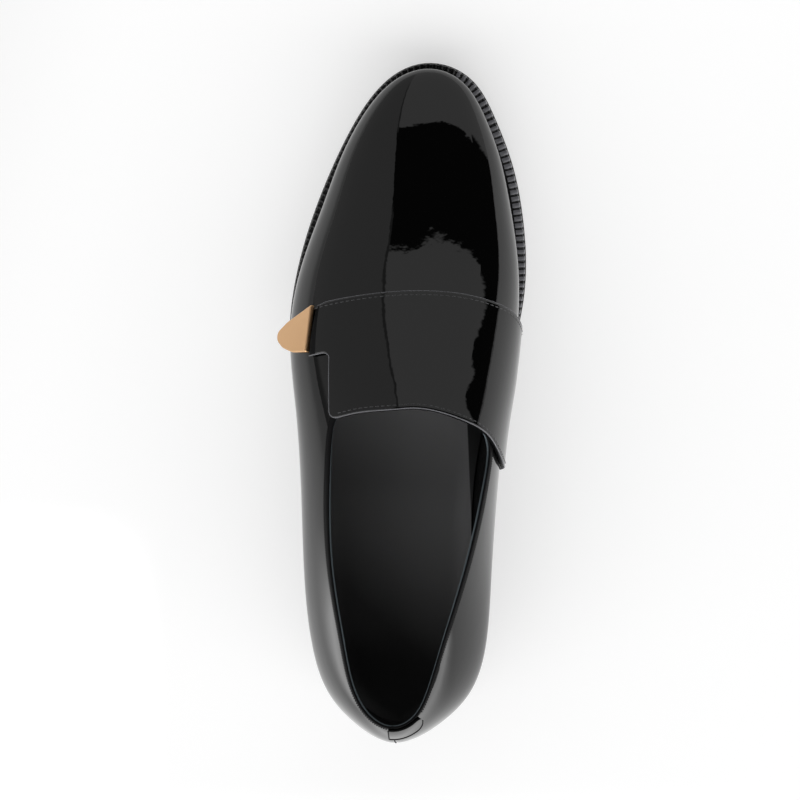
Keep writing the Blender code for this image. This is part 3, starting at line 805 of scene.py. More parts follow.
def sock_leather(colours):
    """Smooth sock leather: satin, with a fine soft grain, and painted light and shade in its colour.

    It is painted light grey towards the toe and inner side, where light falls on it, and darkens to near
    black towards the heel and outer side as painted shade. Along the inner waist the wall's shade is
    painted on it in the lining's black.
    """
    material, tree, shader, places = start_material("sock_leather_satin", colours.sock, Roughness=0.4)
    # Painted light and shade: the colour runs from the shade colour at the heel and outer side to the lit
    # grey at the toe and inner side
    shade_slant = add_node(tree, "ShaderNodeVectorMath", {0: places, 1: (SOCK_SHADE_SLANT, 1, 0)},
                       operation="DOT_PRODUCT")
    painted_light_share = add_node(tree, "ShaderNodeMapRange", {"Value": shade_slant.outputs["Value"],
                                                 "From Min": SOCK_FULL_SHADE * MM, "From Max": SOCK_FULL_LIGHT * MM})
    # Painted shade of the wall: past a slanting line along the inner waist the colour turns to the lining's
    # black
    inner = add_node(tree, "ShaderNodeVectorMath", {0: places, 1: (1, SOCK_WALL_SHADE_SLOPE, 0)},
                     operation="DOT_PRODUCT")
    wall_shade = add_node(tree, "ShaderNodeMapRange", {"Value": inner.outputs["Value"],
                                                   "From Min": SOCK_WALL_SHADE * MM,
                                                   "From Max": (SOCK_WALL_SHADE + SOCK_WALL_SHADE_EDGE) * MM})
    tone = add_node(tree, "ShaderNodeMix", {0: painted_light_share.outputs["Result"], 6: (*colours.sock_heel_shade, 1),
                                            7: (*colours.sock, 1)}, data_type="RGBA")
    tone = add_node(tree, "ShaderNodeMix", {0: wall_shade.outputs["Result"], 6: tone.outputs[2],
                                            7: (*colours.lining, 1)}, data_type="RGBA")
    tree.links.new(tone.outputs[2], shader.inputs["Base Color"])
    mottle(tree, shader, places, width=18, smooth=0.36, rough=0.46)
    press_grain(tree, shader, places, width=0.9, depth=0.02, detail=2.0)
    return material


def waxed_thread(colours):
    """Twisted polyester thread, waxed: dark with small soft glints along the twist."""
    material, tree, shader, places = start_material("polyester_thread_waxed", colours.thread,
                                                    Roughness=0.35)
    press_grain(tree, shader, places, width=0.35, depth=0.05, detail=1.0)
    return material


def welt_leather(name, colour):
    """Dressed and waxed welt strip: black satin, rougher in its pores; a lighter grey copy paints the
    highlight on its ribs.
    """
    material, tree, shader, places = start_material(name, colour, Roughness=0.36,
                                                    Specular_IOR_Level=0.25)
    press_grain(tree, shader, places, width=0.7, depth=0.03, detail=4.0)
    mottle(tree, shader, places, width=0.7, smooth=0.3, rough=0.46, detail=4.0)
    return material


def sole_leather(colours):
    """Pressed sole leather, dyed and buffed: dull black with close pores and faint mottling."""
    material, tree, shader, places = start_material("sole_leather_buffed", colours.sole, Roughness=0.5)
    mottle(tree, shader, places, width=9, smooth=0.42, rough=0.6, detail=4.0)
    prick_pores(tree, shader, places, spacing=0.9, depth=0.05)
    return material


def stacked_heel(colours):
    """Leather lifts, glued, ground flush and polished: fine level lines in black gloss."""
    material, tree, shader, places = start_material("heel_stack_polished", colours.heel, Roughness=0.3)
    lifts = add_node(tree, "ShaderNodeTexWave",
                     {"Vector": places, "Scale": per_metre(STACK_LIFT) / FULL_TURN, "Distortion": 0.3,
                      "Detail": 1.0}, bands_direction="Z", wave_profile="SAW")
    bump = add_node(tree, "ShaderNodeBump", {"Height": lifts.outputs["Fac"], "Distance": STACK_LINE * MM})
    tree.links.new(bump.outputs["Normal"], shader.inputs["Normal"])
    return material


def lift_rubber(colours):
    """Moulded rubber: matt black with the fine grain of its mould."""
    material, tree, shader, places = start_material("rubber_moulded", colours.rubber, Roughness=0.65)
    press_grain(tree, shader, places, width=0.6, depth=0.04, detail=2.0)
    return material


def satin_gold(colours):
    """Gold plating over brushed brass: pale warm metal, even satin with hair-fine lines."""
    material, tree, shader, places = start_material("brass_gold_plated_satin", colours.gold,
                                                    Metallic=1.0, Roughness=0.34)
    # Stretched along the shoe, so that the grain turns into brushed lines
    drawn = add_node(tree, "ShaderNodeMapping", {"Vector": places, "Scale": (1.0, 0.06, 1.0)})
    press_grain(tree, shader, drawn.outputs["Vector"], width=0.3, depth=0.004, detail=2.0)
    mottle(tree, shader, drawn.outputs["Vector"], width=0.3, smooth=0.28, rough=0.42, detail=2.0)
    return material


def floor_paint(colours):
    """Matt pale studio floor, lit from below: most behind the shoe and beside its outer heel."""
    material, tree, shader, places = start_material("floor_paint_matt", colours.floor, Roughness=0.9,
                                                    Specular_IOR_Level=0.0)
    shader.inputs["Emission Color"].default_value = (1, 1, 1, 1)
    split = add_node(tree, "ShaderNodeSeparateXYZ", {"Vector": places})
    x, y = FLOOR_MIDDLE
    oval = add_node(tree, "ShaderNodeMapping",
                    {"Vector": places, "Location": (-x * MM, -y * MM / FLOOR_STRETCH, 0),
                     "Scale": (1, 1 / FLOOR_STRETCH, 1)})
    away = add_node(tree, "ShaderNodeVectorMath", {0: oval.outputs["Vector"]}, operation="LENGTH")
    across, along, out = split.outputs["X"], split.outputs["Y"], away.outputs["Value"]
    glow = FLOOR_SIDE
    # Light at the start and end of each change, where None is the light of the row before
    for place, (start, end), first, last in ((across, FLOOR_HEEL_ACROSS, FLOOR_GLOW, None),
                                             (along, FLOOR_HEEL_ALONG, FLOOR_GLOW, None),
                                             (along, FLOOR_BEHIND, None, FLOOR_REAR),
                                             (out, FLOOR_FADE, None, FLOOR_DIM)):
        change = add_node(tree, "ShaderNodeMapRange",
                          {"Value": place, "From Min": start * MM, "From Max": end * MM,
                           "To Min": first or glow, "To Max": last or glow},
                          interpolation_type="SMOOTHSTEP")
        glow = change.outputs["Result"]
    tree.links.new(glow, shader.inputs["Emission Strength"])
    mottle(tree, shader, places, width=30, smooth=0.86, rough=0.9)
    return material


def swell(points):
    """Height of the soft swells over points of the skin."""
    total = np.zeros(points.shape[:-1])
    for row in SWELLS:
        across = (points[..., 0] - row.x) / row.across
        along = points[..., 1] - row.y
        along = along / np.where(along > 0, row.ahead, row.behind)
        total += row.height * np.exp(-(across ** 2 + along ** 2) / 2)
    return total


def collar_reach(turns):
    """Millimetres along the skin for one share of the way up, at the collar edge."""
    edge = np.ones(len(turns))
    return np.linalg.norm(raised_point(turns, edge) - raised_point(turns, edge - NUDGE), axis=-1) / NUDGE


def topline_share(turns):
    """How much of its full height the topline's fold has: less round the heel."""
    away = np.minimum(turns, FULL_TURN - turns)
    return 1 - HEEL_THINNING * np.exp(-(away / HEEL_SPAN) ** 2)


def wall_rings(outer, inner, drop, roll, band, seam=0.0):
    """Closed rings of a wall over the last: up its outer face, over a round top, down its inner face.

    outer and inner are depths under the skin, drop is how far the top lies below the collar edge,
    roll the height of the rounding, band a strip of even height under it and seam the depth of the
    back seam. Returns the rings and the first ring of the band and of the inner face.
    """
    turns = np.arange(UPPER_COLUMNS) * FULL_TURN / UPPER_COLUMNS
    reach = collar_reach(turns)
    roll = roll * topline_share(turns)
    band = band * topline_share(turns)
    rows = [tucked_point(turns, np.full(UPPER_COLUMNS, 1 - i / TUCK_ROWS)) for i in range(TUCK_ROWS)]
    last = 1 - (drop + roll + band) / reach
    for i in range(RAISED_ROWS):
        rows.append(raised_point(turns, last * (1 - math.cos(i / RAISED_ROWS * math.pi / 2))))
    banded = len(rows)
    for i in range(BAND_ROWS + 1):
        rows.append(raised_point(turns, last + band / reach * i / BAND_ROWS))
    grid = np.array(rows)
    run = unit(np.roll(grid, -1, axis=1) - np.roll(grid, 1, axis=1))
    normal = unit(np.cross(np.gradient(grid, axis=0), run))
    climb = np.cross(run[-1], normal[-1])
    away = np.minimum(turns, FULL_TURN - turns)
    lift = swell(grid) - seam * np.exp(-(away / BACK_SEAM_WIDTH) ** 2)
    grid += normal * lift[..., None]
    half = (inner - outer) / 2
    top = grid[-1] - normal[-1] * outer
    rings = list(grid - normal * outer)
    for i in range(1, ROLL_ROWS):
        angle = math.pi * i / ROLL_ROWS
        over = climb * roll[:, None] * math.sin(angle)
        rings.append(top + over - normal[-1] * half * (1 - math.cos(angle)))
    rolled = len(rings)
    rings += list((grid - normal * inner)[::-INNER_STEP])
    return np.array(rings), banded, rolled


class LOAFER_OT_upper(bpy.types.Operator):
    """Make the patent leather upper with its folded topline"""
    bl_idname = "loafer.upper"
    bl_label = "Make upper"

    def execute(self, context):
        sizes = context.scene.loafer_sizes
        colours = context.scene.loafer_colours
        rings, banded, _ = wall_rings(0.0, mm(sizes.leather), 0.0, mm(sizes.roll), mm(sizes.topline_band),
                                      BACK_SEAM_DEPTH)
        faces = grid_faces(len(rings), UPPER_COLUMNS, True, True)
        row = np.arange(len(faces)) // UPPER_COLUMNS
        add_piece("upper_leather", rings, faces, [patent_leather(colours), folded_edge(colours)],
                  "upper", faces_of=(row >= banded).astype(np.int32))
        return {"FINISHED"}


class LOAFER_OT_lining(bpy.types.Operator):
    """Make the lining inside the upper, with its raw top edge, partly a painted highlight"""
    bl_idname = "loafer.lining"
    bl_label = "Make lining"

    def execute(self, context):
        sizes = context.scene.loafer_sizes
        colours = context.scene.loafer_colours
        outer = UPPER_WALL - mm(sizes.lining)
        rings, _, rolled = wall_rings(outer, UPPER_WALL, mm(sizes.lining_drop), mm(sizes.lining) / 2,
                                      LINING_BAND)
        faces = grid_faces(len(rings), UPPER_COLUMNS, True, True)
        row = np.arange(len(faces)) // UPPER_COLUMNS
        # Partly painted highlight: the rounded top edge gets the blue-grey
        edge_and_highlight = (row >= rolled - ROLL_ROWS) & (row < rolled)
        add_piece("collar_lining", rings, faces, [lining_leather(colours), lining_edge_with_highlight(colours)],
                  faces_of=edge_and_highlight.astype(np.int32))
        return {"FINISHED"}


def spread(width):
    """Shares from 0 to 1 over a width: fine steps near both edges, coarse ones between."""
    edge = np.arange(0, EDGE_MARGIN, FINE_STEP)[1:]
    steps = max(3, round((width - 2 * EDGE_MARGIN) / COARSE_STEP))
    middle = np.linspace(EDGE_MARGIN, width - EDGE_MARGIN, steps)
    places = np.concatenate([[0], edge, middle, width - edge[::-1], [width]])
    return places / width


def strap_columns():
    """Angles of the strap's columns and how many of them belong to the tab alone."""
    tab = TAB_END + (FLAP_EDGE - TAB_END) * np.sin(np.linspace(0, math.pi / 2, TAB_COLUMNS))[:-1]
    bend = np.linspace(CORNER_START, math.pi / 2, FLAP_CORNER_COLUMNS)
    corner = np.concatenate([[FLAP_EDGE], FLAP_EDGE + FLAP_CORNER * (1 - np.cos(bend))])
    rest = np.linspace(FLAP_EDGE + FLAP_CORNER, STRAP_FOOT, BAND_COLUMNS)[1:]
    return np.concatenate([tab, corner, rest]), len(tab)


def tab_rear(angles):
    """Line across the strap at the tab's rear edge, rounded into the flap's edge."""
    straight = STRAP_FRONT(angles) - TAB_WIDTH
    flap = band_point(STRAP_FRONT(FLAP_EDGE) - TAB_WIDTH, np.array(FLAP_EDGE))
    away = np.linalg.norm(band_point(straight, angles) - flap, axis=-1)
    near = np.clip(1 - away / FLAP_FILLET, 0, 1)
    return straight - FLAP_FILLET * (1 - np.sqrt(1 - near ** 2))


def flap_rear(angles):
    """Rear edge of the strap with the flap's rounded corner."""
    near = np.clip(1 - (angles - FLAP_EDGE) / FLAP_CORNER, 0, 1)
    return STRAP_REAR(angles) + FLAP_ROUND * (1 - np.sqrt(1 - near ** 2))


class LOAFER_OT_strap(bpy.types.Operator):
    """Make the saddle strap with its tab, flap and painted cut edges, whose grey is partly a painted
    highlight
    """
    bl_idname = "loafer.strap"
    bl_label = "Make strap"

    def execute(self, context):
        sizes = context.scene.loafer_sizes
        colours = context.scene.loafer_colours
        angles, tab_columns = strap_columns()
        front = STRAP_FRONT(angles)
        split = tab_rear(angles)
        rear = flap_rear(angles)
        flap_shares = spread(FLAP_LENGTH)[:-1]
        tab_shares = spread(TAB_WIDTH)
        rows = [rear + (split - rear) * share for share in flap_shares]
        rows += [split + (front - split) * share for share in tab_shares]
        y = np.array(rows)
        fade = np.clip((FLAP_EDGE - angles) / (FLAP_EDGE - TAB_END), 0, 1)
        middle = front - TAB_WIDTH
        ahead = np.clip((y - middle) / TAB_WIDTH, 0, 1)
        behind = np.clip((middle - y) / (middle - STRAP_REAR(angles)), 0, 1)
        upright = np.where(angles < FLAP_EDGE, 1 - fade,
                           np.clip(1 - (angles - FLAP_EDGE) / FLAP_SLANT_REACH, 0, 1))
        around = angles + TAB_SLANT * fade * ahead + FLAP_SLANT * upright * (1 - ahead) * (1 - behind)
        lift = GAP + swell(band_point(y, around))
        grid = offset_grid(band_point, y, around, lift)
        count = len(angles)
        faces = [face for face in grid_faces(len(rows), count)
                 if face[0] // count >= len(flap_shares) or face[0] % count >= tab_columns]
        # Painted shade: the tab's last stretch beside the metal tip gets the matt black of the fold
        tab_shade = [angles[face[0] % count] < TAB_END + TAB_SHADE_END for face in faces]
        strap = add_piece("strap_leather", grid, faces,
                          [patent_leather(colours), folded_edge(colours)], "strap",
                          faces_of=tab_shade, closed=False)
        thicken(strap, STRAP_THICKNESS)
        radius = mm(sizes.cut_edge)
        top = offset_grid(band_point, y, around, lift + STRAP_THICKNESS - radius / 2)
        out = surface_normal(band_point, y, around)
        flap = len(flap_shares)
        edge = [(flap, j) for j in range(tab_columns)]
        edge += [(i, tab_columns) for i in range(flap, 0, -1)]
        edge += [(0, j) for j in range(tab_columns, count)]
        fore = [(len(rows) - 1, j) for j in range(count)]
        # Partly painted highlight: grey beads of edge paint along the strap's front, flap and rear edges
        for name, path, width in (("strap_front_bead", fore, FRONT_BEAD), ("strap_rear_bead", edge, 1.0)):
            i, j = np.array(path).T
            add_bead(name, top[i, j], out[i, j], radius * width, edge_paint_highlight(colours))
        return {"FINISHED"}


def thicken(piece, thickness):
    """Give an overlay its thickness outward, with its second material on the cut edges."""
    wall = piece.modifiers.new("thickness", "SOLIDIFY")
    wall.thickness = thickness * MM
    wall.offset = 1
    wall.use_even_offset = True
    wall.material_offset_rim = 1


def add_bead(name, path, normal, radius, material):
    """Lay a round bead along an open path on a surface."""
    distance, values_at = walk(path)
    places = np.linspace(0, distance[-1], round(distance[-1] / BEAD_STEP))
    line = values_at(path, places)
    up = values_at(normal, places)
    side = unit(np.cross(up, np.gradient(line, axis=0)))
    angles = np.arange(BEAD_SIDES) * FULL_TURN / BEAD_SIDES
    rings = side[:, None] * np.cos(angles)[:, None] + up[:, None] * np.sin(angles)[:, None]
    add_piece(name, line[:, None] + radius * rings, tube_faces(len(line), BEAD_SIDES), [material])


def rounded_outline(corners):
    """Points of a closed outline (across, along) whose corners are rounded by arcs."""
    places = [Vector((corner.across, corner.along)) for corner in corners]
    points = []
    for i, corner in enumerate(corners):
        here = places[i]
        back = (places[i - 1] - here).normalized()
        ahead = (places[(i + 1) % len(places)] - here).normalized()
        half = back.angle(ahead) / 2
        centre = here + (back + ahead).normalized() * corner.radius / math.sin(half)
        first = here + back * corner.radius / math.tan(half) - centre
        last = here + ahead * corner.radius / math.tan(half) - centre
        sweep = first.angle_signed(last)
        for j in range(CORNER_POINTS):
            turn = Matrix.Rotation(-sweep * j / (CORNER_POINTS - 1), 2)
            points.append(centre + turn @ first)
    return np.array(points)


def tip_frame():
    """Base point of the metal tip and its axes: towards the toe, down the slope and outward."""
    rest = np.array(TIP_REST)
    y = np.array(float(STRAP_FRONT(TAB_END)) - TAB_WIDTH / 2)
    forward = Vector(band_point(y + NUDGE, rest) - band_point(y - NUDGE, rest)).normalized()
    down = Vector(band_point(y, rest - NUDGE) - band_point(y, rest + NUDGE)).normalized()
    out = forward.cross(down).normalized()
    down = out.cross(forward)
    touch = Vector(offset_grid(band_point, y, rest, GAP))
    tab_end = Vector(band_point(y, np.array(TAB_END)))
    base = touch + down * (down.dot(tab_end - touch) + GAP)
    return base, np.array((forward, down, out))


class LOAFER_OT_tip(bpy.types.Operator):
    """Make the flat metal tip on the strap's tab, with an eased edge"""
    bl_idname = "loafer.tip"
    bl_label = "Make metal tip"

    def execute(self, context):
        bevel = mm(context.scene.loafer_sizes.tip_bevel)
        outline = rounded_outline(TIP)
        run = unit(np.roll(outline, -1, axis=0) - np.roll(outline, 1, axis=0))
        inward = np.stack([run[:, 1], -run[:, 0]], axis=1)
        centre = outline.mean(axis=0)
        if np.sum(inward * (centre - outline)) < 0:
            inward = -inward
        profile = [(TIP_FOOT, 0.0), (0.0, TIP_FOOT)]
        profile += [(inset, TIP_THICKNESS - height) for inset, height in quarter_round(bevel)[::-1]]
        base, axes = tip_frame()
        rings = []
        for inset, height in profile:
            flat = raised(outline + inward * inset, np.full(len(outline), height))
            rings.append(flat @ axes + np.array(base))
        add_piece("metal_tip", np.array(rings), tube_faces(len(rings), len(outline)),
                  [satin_gold(context.scene.loafer_colours)], "strap_tip")
        return {"FINISHED"}


class LOAFER_OT_back_strip(bpy.types.Operator):
    """Make the short strip that laps over the top of the back seam"""
    bl_idname = "loafer.back_strip"
    bl_label = "Make back strip"

    def execute(self, context):
        colours = context.scene.loafer_colours
        turns = np.linspace(BACK_STRIP_START, BACK_STRIP_END, BACK_STRIP_COLUMNS)
        end = np.clip((turns - BACK_STRIP_START) / BACK_STRIP_ROUND, 0, 1)
        narrow = (1 - np.sqrt(1 - (1 - end) ** 2)) * (BACK_STRIP_HIGH - BACK_STRIP_LOW) / 2
        low = BACK_STRIP_LOW + narrow
        high = BACK_STRIP_HIGH - narrow
        climb = np.linspace(0, 1, BACK_STRIP_ROWS + 1)[:, None]
        shares = low + (high - low) * climb
        around = np.broadcast_to(turns, shares.shape)
        grid = offset_grid(raised_point, around, shares, GAP)
        faces = grid_faces(len(shares), len(turns))
        strip = add_piece("back_strip", grid, [face[::-1] for face in faces],
                          [patent_leather(colours), folded_edge(colours)], "heel_tab",
                          closed=False)
        thicken(strip, BACK_STRIP_THICKNESS)
        top = offset_grid(raised_point, around, shares, GAP + BACK_STRIP_THICKNESS)
        out = surface_normal(raised_point, around, shares)
        # Partly painted shade: a matt black bead along the lower edge and the back end stands for the
        # strip's edge and the shadow gap under it
        rim = [(i, len(turns) - 1) for i in range(len(shares) - 1, 0, -1)]
        rim += [(0, j) for j in range(len(turns) - 1, -1, -1)]
        i, j = np.array(rim).T
        add_bead("back_strip_edge", top[i, j], out[i, j], SEAM_RADIUS, folded_edge(colours))
        shares = np.linspace(SEAM_START, BACK_STRIP_LOW, SEAM_POINTS)
        middle = np.zeros(len(shares))
        add_bead("back_seam", offset_grid(raised_point, middle, shares, -SEAM_RADIUS / 2),
                 surface_normal(raised_point, middle, shares), SEAM_RADIUS, folded_edge(colours))
        return {"FINISHED"}


def stitches(path, normal, pitch, length, width):
    """Points and faces of a row of stitches, small bars laid along a path on a surface."""
    distance, values_at = walk(path)
    count = max(1, int(distance[-1] // pitch))
    places = (np.arange(count) + 0.5) * distance[-1] / count
    centre = values_at(path, places)
    forward = unit(values_at(path, places + length / 4) - values_at(path, places - length / 4))
    up = values_at(normal, places)
    up = unit(up - forward * np.sum(forward * up, axis=1, keepdims=True))
    across = np.cross(up, forward)
    angle = np.arange(STITCH_SIDES) * FULL_TURN / STITCH_SIDES
    shares = np.sin(np.linspace(-STITCH_END, STITCH_END, STITCH_RINGS) * math.pi / 2)
    girth = np.sqrt(1 - np.abs(shares) ** 3)
    template = np.array([(share * length / 2, width / 2 * math.cos(a) * g, width / 2 * math.sin(a) * g)
                         for share, g in zip(shares, girth) for a in angle])
    axes = np.stack([forward, across, up], axis=1)
    points = centre[:, None, :] + np.einsum("vk,nkj->nvj", template, axes)
    faces = tube_faces(STITCH_RINGS, STITCH_SIDES)
    block = STITCH_RINGS * STITCH_SIDES
    every = [[index + block * n for index in face] for n in range(count) for face in faces]
    return points.reshape(-1, 3), every


def add_stitches(name, rows, pitch, length, material, context):
    """Join rows of stitches, each a path with its normals, into one piece."""
    points, faces, start = [], [], 0
    for path, normal in rows:
        row_points, row_faces = stitches(path, normal, pitch, length, mm(context.scene.loafer_sizes.thread))
        points.append(row_points)
        faces += [[index + start for index in face] for face in row_faces]
        start += len(row_points)
    add_piece(name, np.concatenate(points), faces, [material])


class LOAFER_OT_stitching(bpy.types.Operator):
    """Sew the strap's edges and the topline"""
    bl_idname = "loafer.stitching"
    bl_label = "Sew stitches"

    def execute(self, context):
        sizes = context.scene.loafer_sizes
        inset = mm(sizes.stitch_inset)
        angles = np.linspace(TAB_END + STITCH_MARGIN, STRAP_FOOT - STITCH_MARGIN, STRAP_PATH)
        rows = [strap_row(STRAP_FRONT(angles) - inset, angles)]
        angles = np.linspace(FLAP_EDGE + FLAP_CORNER, STRAP_FOOT - STITCH_MARGIN, STRAP_PATH)
        rows.append(strap_row(flap_rear(angles) + inset, angles))
        add_stitches("strap_stitches", rows, mm(sizes.stitch_pitch), mm(sizes.stitch_length),
                     waxed_thread(context.scene.loafer_colours), context)
        turns = np.linspace(TOPLINE_START, FULL_TURN - TOPLINE_END, TOPLINE_PATH)
        down = (mm(sizes.roll) + mm(sizes.topline_band)) * topline_share(turns) + mm(sizes.thread) / 2
        share = 1 - down / collar_reach(turns)
        behind = COLLAR_EDGE.along(collar_turn(turns)) < STRAP_REAR(math.pi / 2)
        path = raised_point(turns, share)
        out = surface_normal(raised_point, turns, share)
        sides = np.flatnonzero(np.diff(behind.astype(int)))
        rows = [(path[:sides[0]], out[:sides[0]]), (path[sides[-1] + 1:], out[sides[-1] + 1:])]
        pitch = mm(sizes.topline_pitch)
        add_stitches("topline_stitches", rows, pitch, pitch * TOPLINE_STITCH,
                     folded_edge(context.scene.loafer_colours), context)
        return {"FINISHED"}


def strap_row(y, angles):
    """Path on the strap's face and its normals."""
    lift = GAP + STRAP_THICKNESS + swell(band_point(y, angles))
    return offset_grid(band_point, y, angles, lift), surface_normal(band_point, y, angles)


def slab_rails(turns, edge, low, high, rounding):
    """Rails of a plate with a rounded rim, lateral underside to lateral top and back along medial.

    edge(turn, inset) gives the outline, low and high the heights as functions of y.
    """
    profile = [(RIM_STRIP * rounding, 0.0), *quarter_round(rounding)]
    rails = []
    for side in (turns, FULL_TURN - turns):
        lower = [(inset, height, low) for inset, height in profile]
        upper = [(inset, -height, high) for inset, height in profile[::-1]]
        half = []
        for inset, height, level in lower + upper:
            plan = edge(side, inset)
            half.append(raised(plan, level(plan[:, 1]) + height))
        rails.append(half)
    return rails[0] + rails[1][::-1]


def slab_piece(name, rails, material, replaced):
    """Join rails into a closed plate; its ends close on themselves or with a flat face."""
    grid = np.array(rails)
    count = len(rails)
    stations = grid.shape[1]
    faces = grid_faces(count, stations, True, False)
    faces.append([i * stations for i in range(count)])
    faces.append([i * stations + stations - 1 for i in range(count)][::-1])
    add_piece(name, grid, faces, [material], replaced)


class LOAFER_OT_sole(bpy.types.Operator):
    """Make outsole, heel block and rubber top lift with eased rims"""
    bl_idname = "loafer.sole"
    bl_label = "Make sole and heel"

    def execute(self, context):
        colours = context.scene.loafer_colours
        whole = np.linspace(0, math.pi, SLAB_STATIONS)
        heel = np.linspace(0, float(SOLE_EDGE.turn_at(HEEL_BREAST)), SLAB_STATIONS // 2)

        def sole_edge(turn, inset):
            return SOLE_EDGE.inset(turn, np.full(np.shape(turn), inset))

        def level(height):
            return lambda y: np.full(np.shape(y), height)

        rails = slab_rails(whole, sole_edge, sole_bottom, sole_top, SOLE_ROUND)
        slab_piece("sole_plate", rails, sole_leather(colours), "outsole")
        rails = slab_rails(heel, lambda turn, inset: sole_edge(turn, inset + HEEL_INSET + HEEL_TAPER / 2),
                           level(TOP_LIFT + GAP), lambda y: sole_bottom(y) - GAP, HEEL_ROUND)
        slab_piece("heel_block", rails, stacked_heel(colours), "heel")
        rails = slab_rails(heel, lambda turn, inset: sole_edge(turn, inset + HEEL_INSET + HEEL_TAPER),
                           level(0.0), level(TOP_LIFT), LIFT_ROUND)
        slab_piece("rubber_lift", rails, lift_rubber(colours), "heel_top_lift")
        return {"FINISHED"}


class LOAFER_OT_welt(bpy.types.Operator):
    """Make the welt with round ribs across its outer edge"""
    bl_idname = "loafer.welt"
    bl_label = "Make ribbed welt"

    def execute(self, context):
        fine = np.linspace(0, FULL_TURN, LENGTH_STEPS + 1)
        plan = SOLE_EDGE.point(fine)
        length, _ = walk(plan)
        first = np.interp(SOLE_EDGE.turn_at(RIB_BACK), fine, length)
        last = np.interp(FULL_TURN - SOLE_EDGE.turn_at(RIB_BACK), fine, length)
        places = np.linspace(0, length[-1], round(length[-1] / WELT_STEP) + 1)[:-1]
        turns = np.interp(places, length, fine)
        ribs = round((last - first) / RIB_PITCH)
        phase = (places - first) / (last - first) * ribs
        groove = np.abs(np.mod(phase, 1) - 0.5) * RIB_PITCH
        groove = np.exp(-(groove / GROOVE_HALF) ** 2) * ((places > first) & (places < last))
        rails = []
        inner = GIRTH.inset(turns, TUCK(turns) + WELT_UNDER)
        rails.append(raised(inner, sole_top(inner[:, 1]) + GAP))
        for inset, height in ((WELT_EDGE + WELT_EASE, 0.0), (WELT_EDGE, WELT_EASE)):
            rim = SOLE_EDGE.inset(turns, np.full(len(turns), inset))
            rails.append(raised(rim, sole_top(rim[:, 1]) + GAP + height))
        for share in (0.0, 0.5, 1.0):
            sunk = WELT_EDGE + RIB_DEPTH * groove * (0.5 + share / 2) + RIB_LEAN * share ** 2
            rim = SOLE_EDGE.inset(turns, sunk)
            low = sole_top(rim[:, 1]) + GAP + RIB_FOOT
            high = welt_top(rim[:, 1]) - RIB_TOP - RIB_DEPTH * groove
            rails.append(raised(rim, low + (high - low) * share))
        for reach in RIB_RAILS:
            deep = RIB_DEPTH * groove * (1 - reach / RIB_REACH)
            rim = SOLE_EDGE.inset(turns, WELT_EDGE + reach + 0.5 * deep)
            ease = RIB_EASE * (reach == RIB_RAILS[0])
            rails.append(raised(rim, welt_top(rim[:, 1]) - deep - ease))
        rails.append(raised(inner, welt_top(inner[:, 1])))
        faces = grid_faces(len(rails), len(turns), True, True)
        colours = context.scene.loafer_colours
        # Painted highlight: the crests of the ribs on the inner side get the lighter grey
        ribbed = (groove < RIB_CREST) & (places > first) & (places < last) & (turns > RIB_HIGHLIGHT_TURN)
        outer = np.arange(len(rails))[:, None] >= WELT_RIM_RAIL
        crest_highlight = outer & (np.arange(len(rails))[:, None] < len(rails) - 2) & ribbed
        plain = welt_leather("welt_leather_waxed", colours.welt)
        highlight_leather = welt_leather("welt_leather_rubbed", colours.crest_highlight)
        add_piece("ribbed_welt", np.array(rails), faces, [plain, highlight_leather], "welt",
                  faces_of=crest_highlight.ravel())
        return {"FINISHED"}


class LOAFER_OT_sock(bpy.types.Operator):
    """Make the sock lining on the insole, dished up to the wall all round"""
    bl_idname = "loafer.sock"
    bl_label = "Make sock lining"

    def execute(self, context):
        turns = np.linspace(0, math.pi, SLAB_STATIONS)
        lateral = GIRTH.inset(turns, TUCK(turns) + SOCK_INSET)
        medial = GIRTH.inset(FULL_TURN - turns, TUCK(FULL_TURN - turns) + SOCK_INSET)
        width = np.linalg.norm(medial - lateral, axis=1)
        rows = []
        for share in (1 - np.cos(np.linspace(0, math.pi, SOCK_COLUMNS))) / 2:
            plan = lateral + (medial - lateral) * share
            edge = np.minimum(share, 1 - share) * width
            lift = SOCK_DISH * np.clip(1 - edge / SOCK_DISH_REACH, 0, 1) ** 2
            lift *= np.clip(width / SOCK_DISH_WIDTH, 0, 1)
            rows.append(raised(plan, welt_top(plan[:, 1]) + SOCK_PROUD + lift))
        top = np.array(rows)
        under = top - np.array([0, 0, SOCK_THICKNESS])
        faces = grid_faces(SOCK_COLUMNS, SLAB_STATIONS)
        block = top[..., 0].size
        faces += [[index + block for index in face[::-1]] for face in faces]
        for row in (0, SOCK_COLUMNS - 1):
            rim = [row * SLAB_STATIONS + i for i in range(SLAB_STATIONS)]
            for a, b in zip(rim, rim[1:]):
                quad = [a, b, b + block, a + block]
                faces.append(quad if row else quad[::-1])
        add_piece("sock_lining", np.concatenate([top.reshape(-1, 3), under.reshape(-1, 3)]), faces,
                  [sock_leather(context.scene.loafer_colours)], "insole")
        return {"FINISHED"}


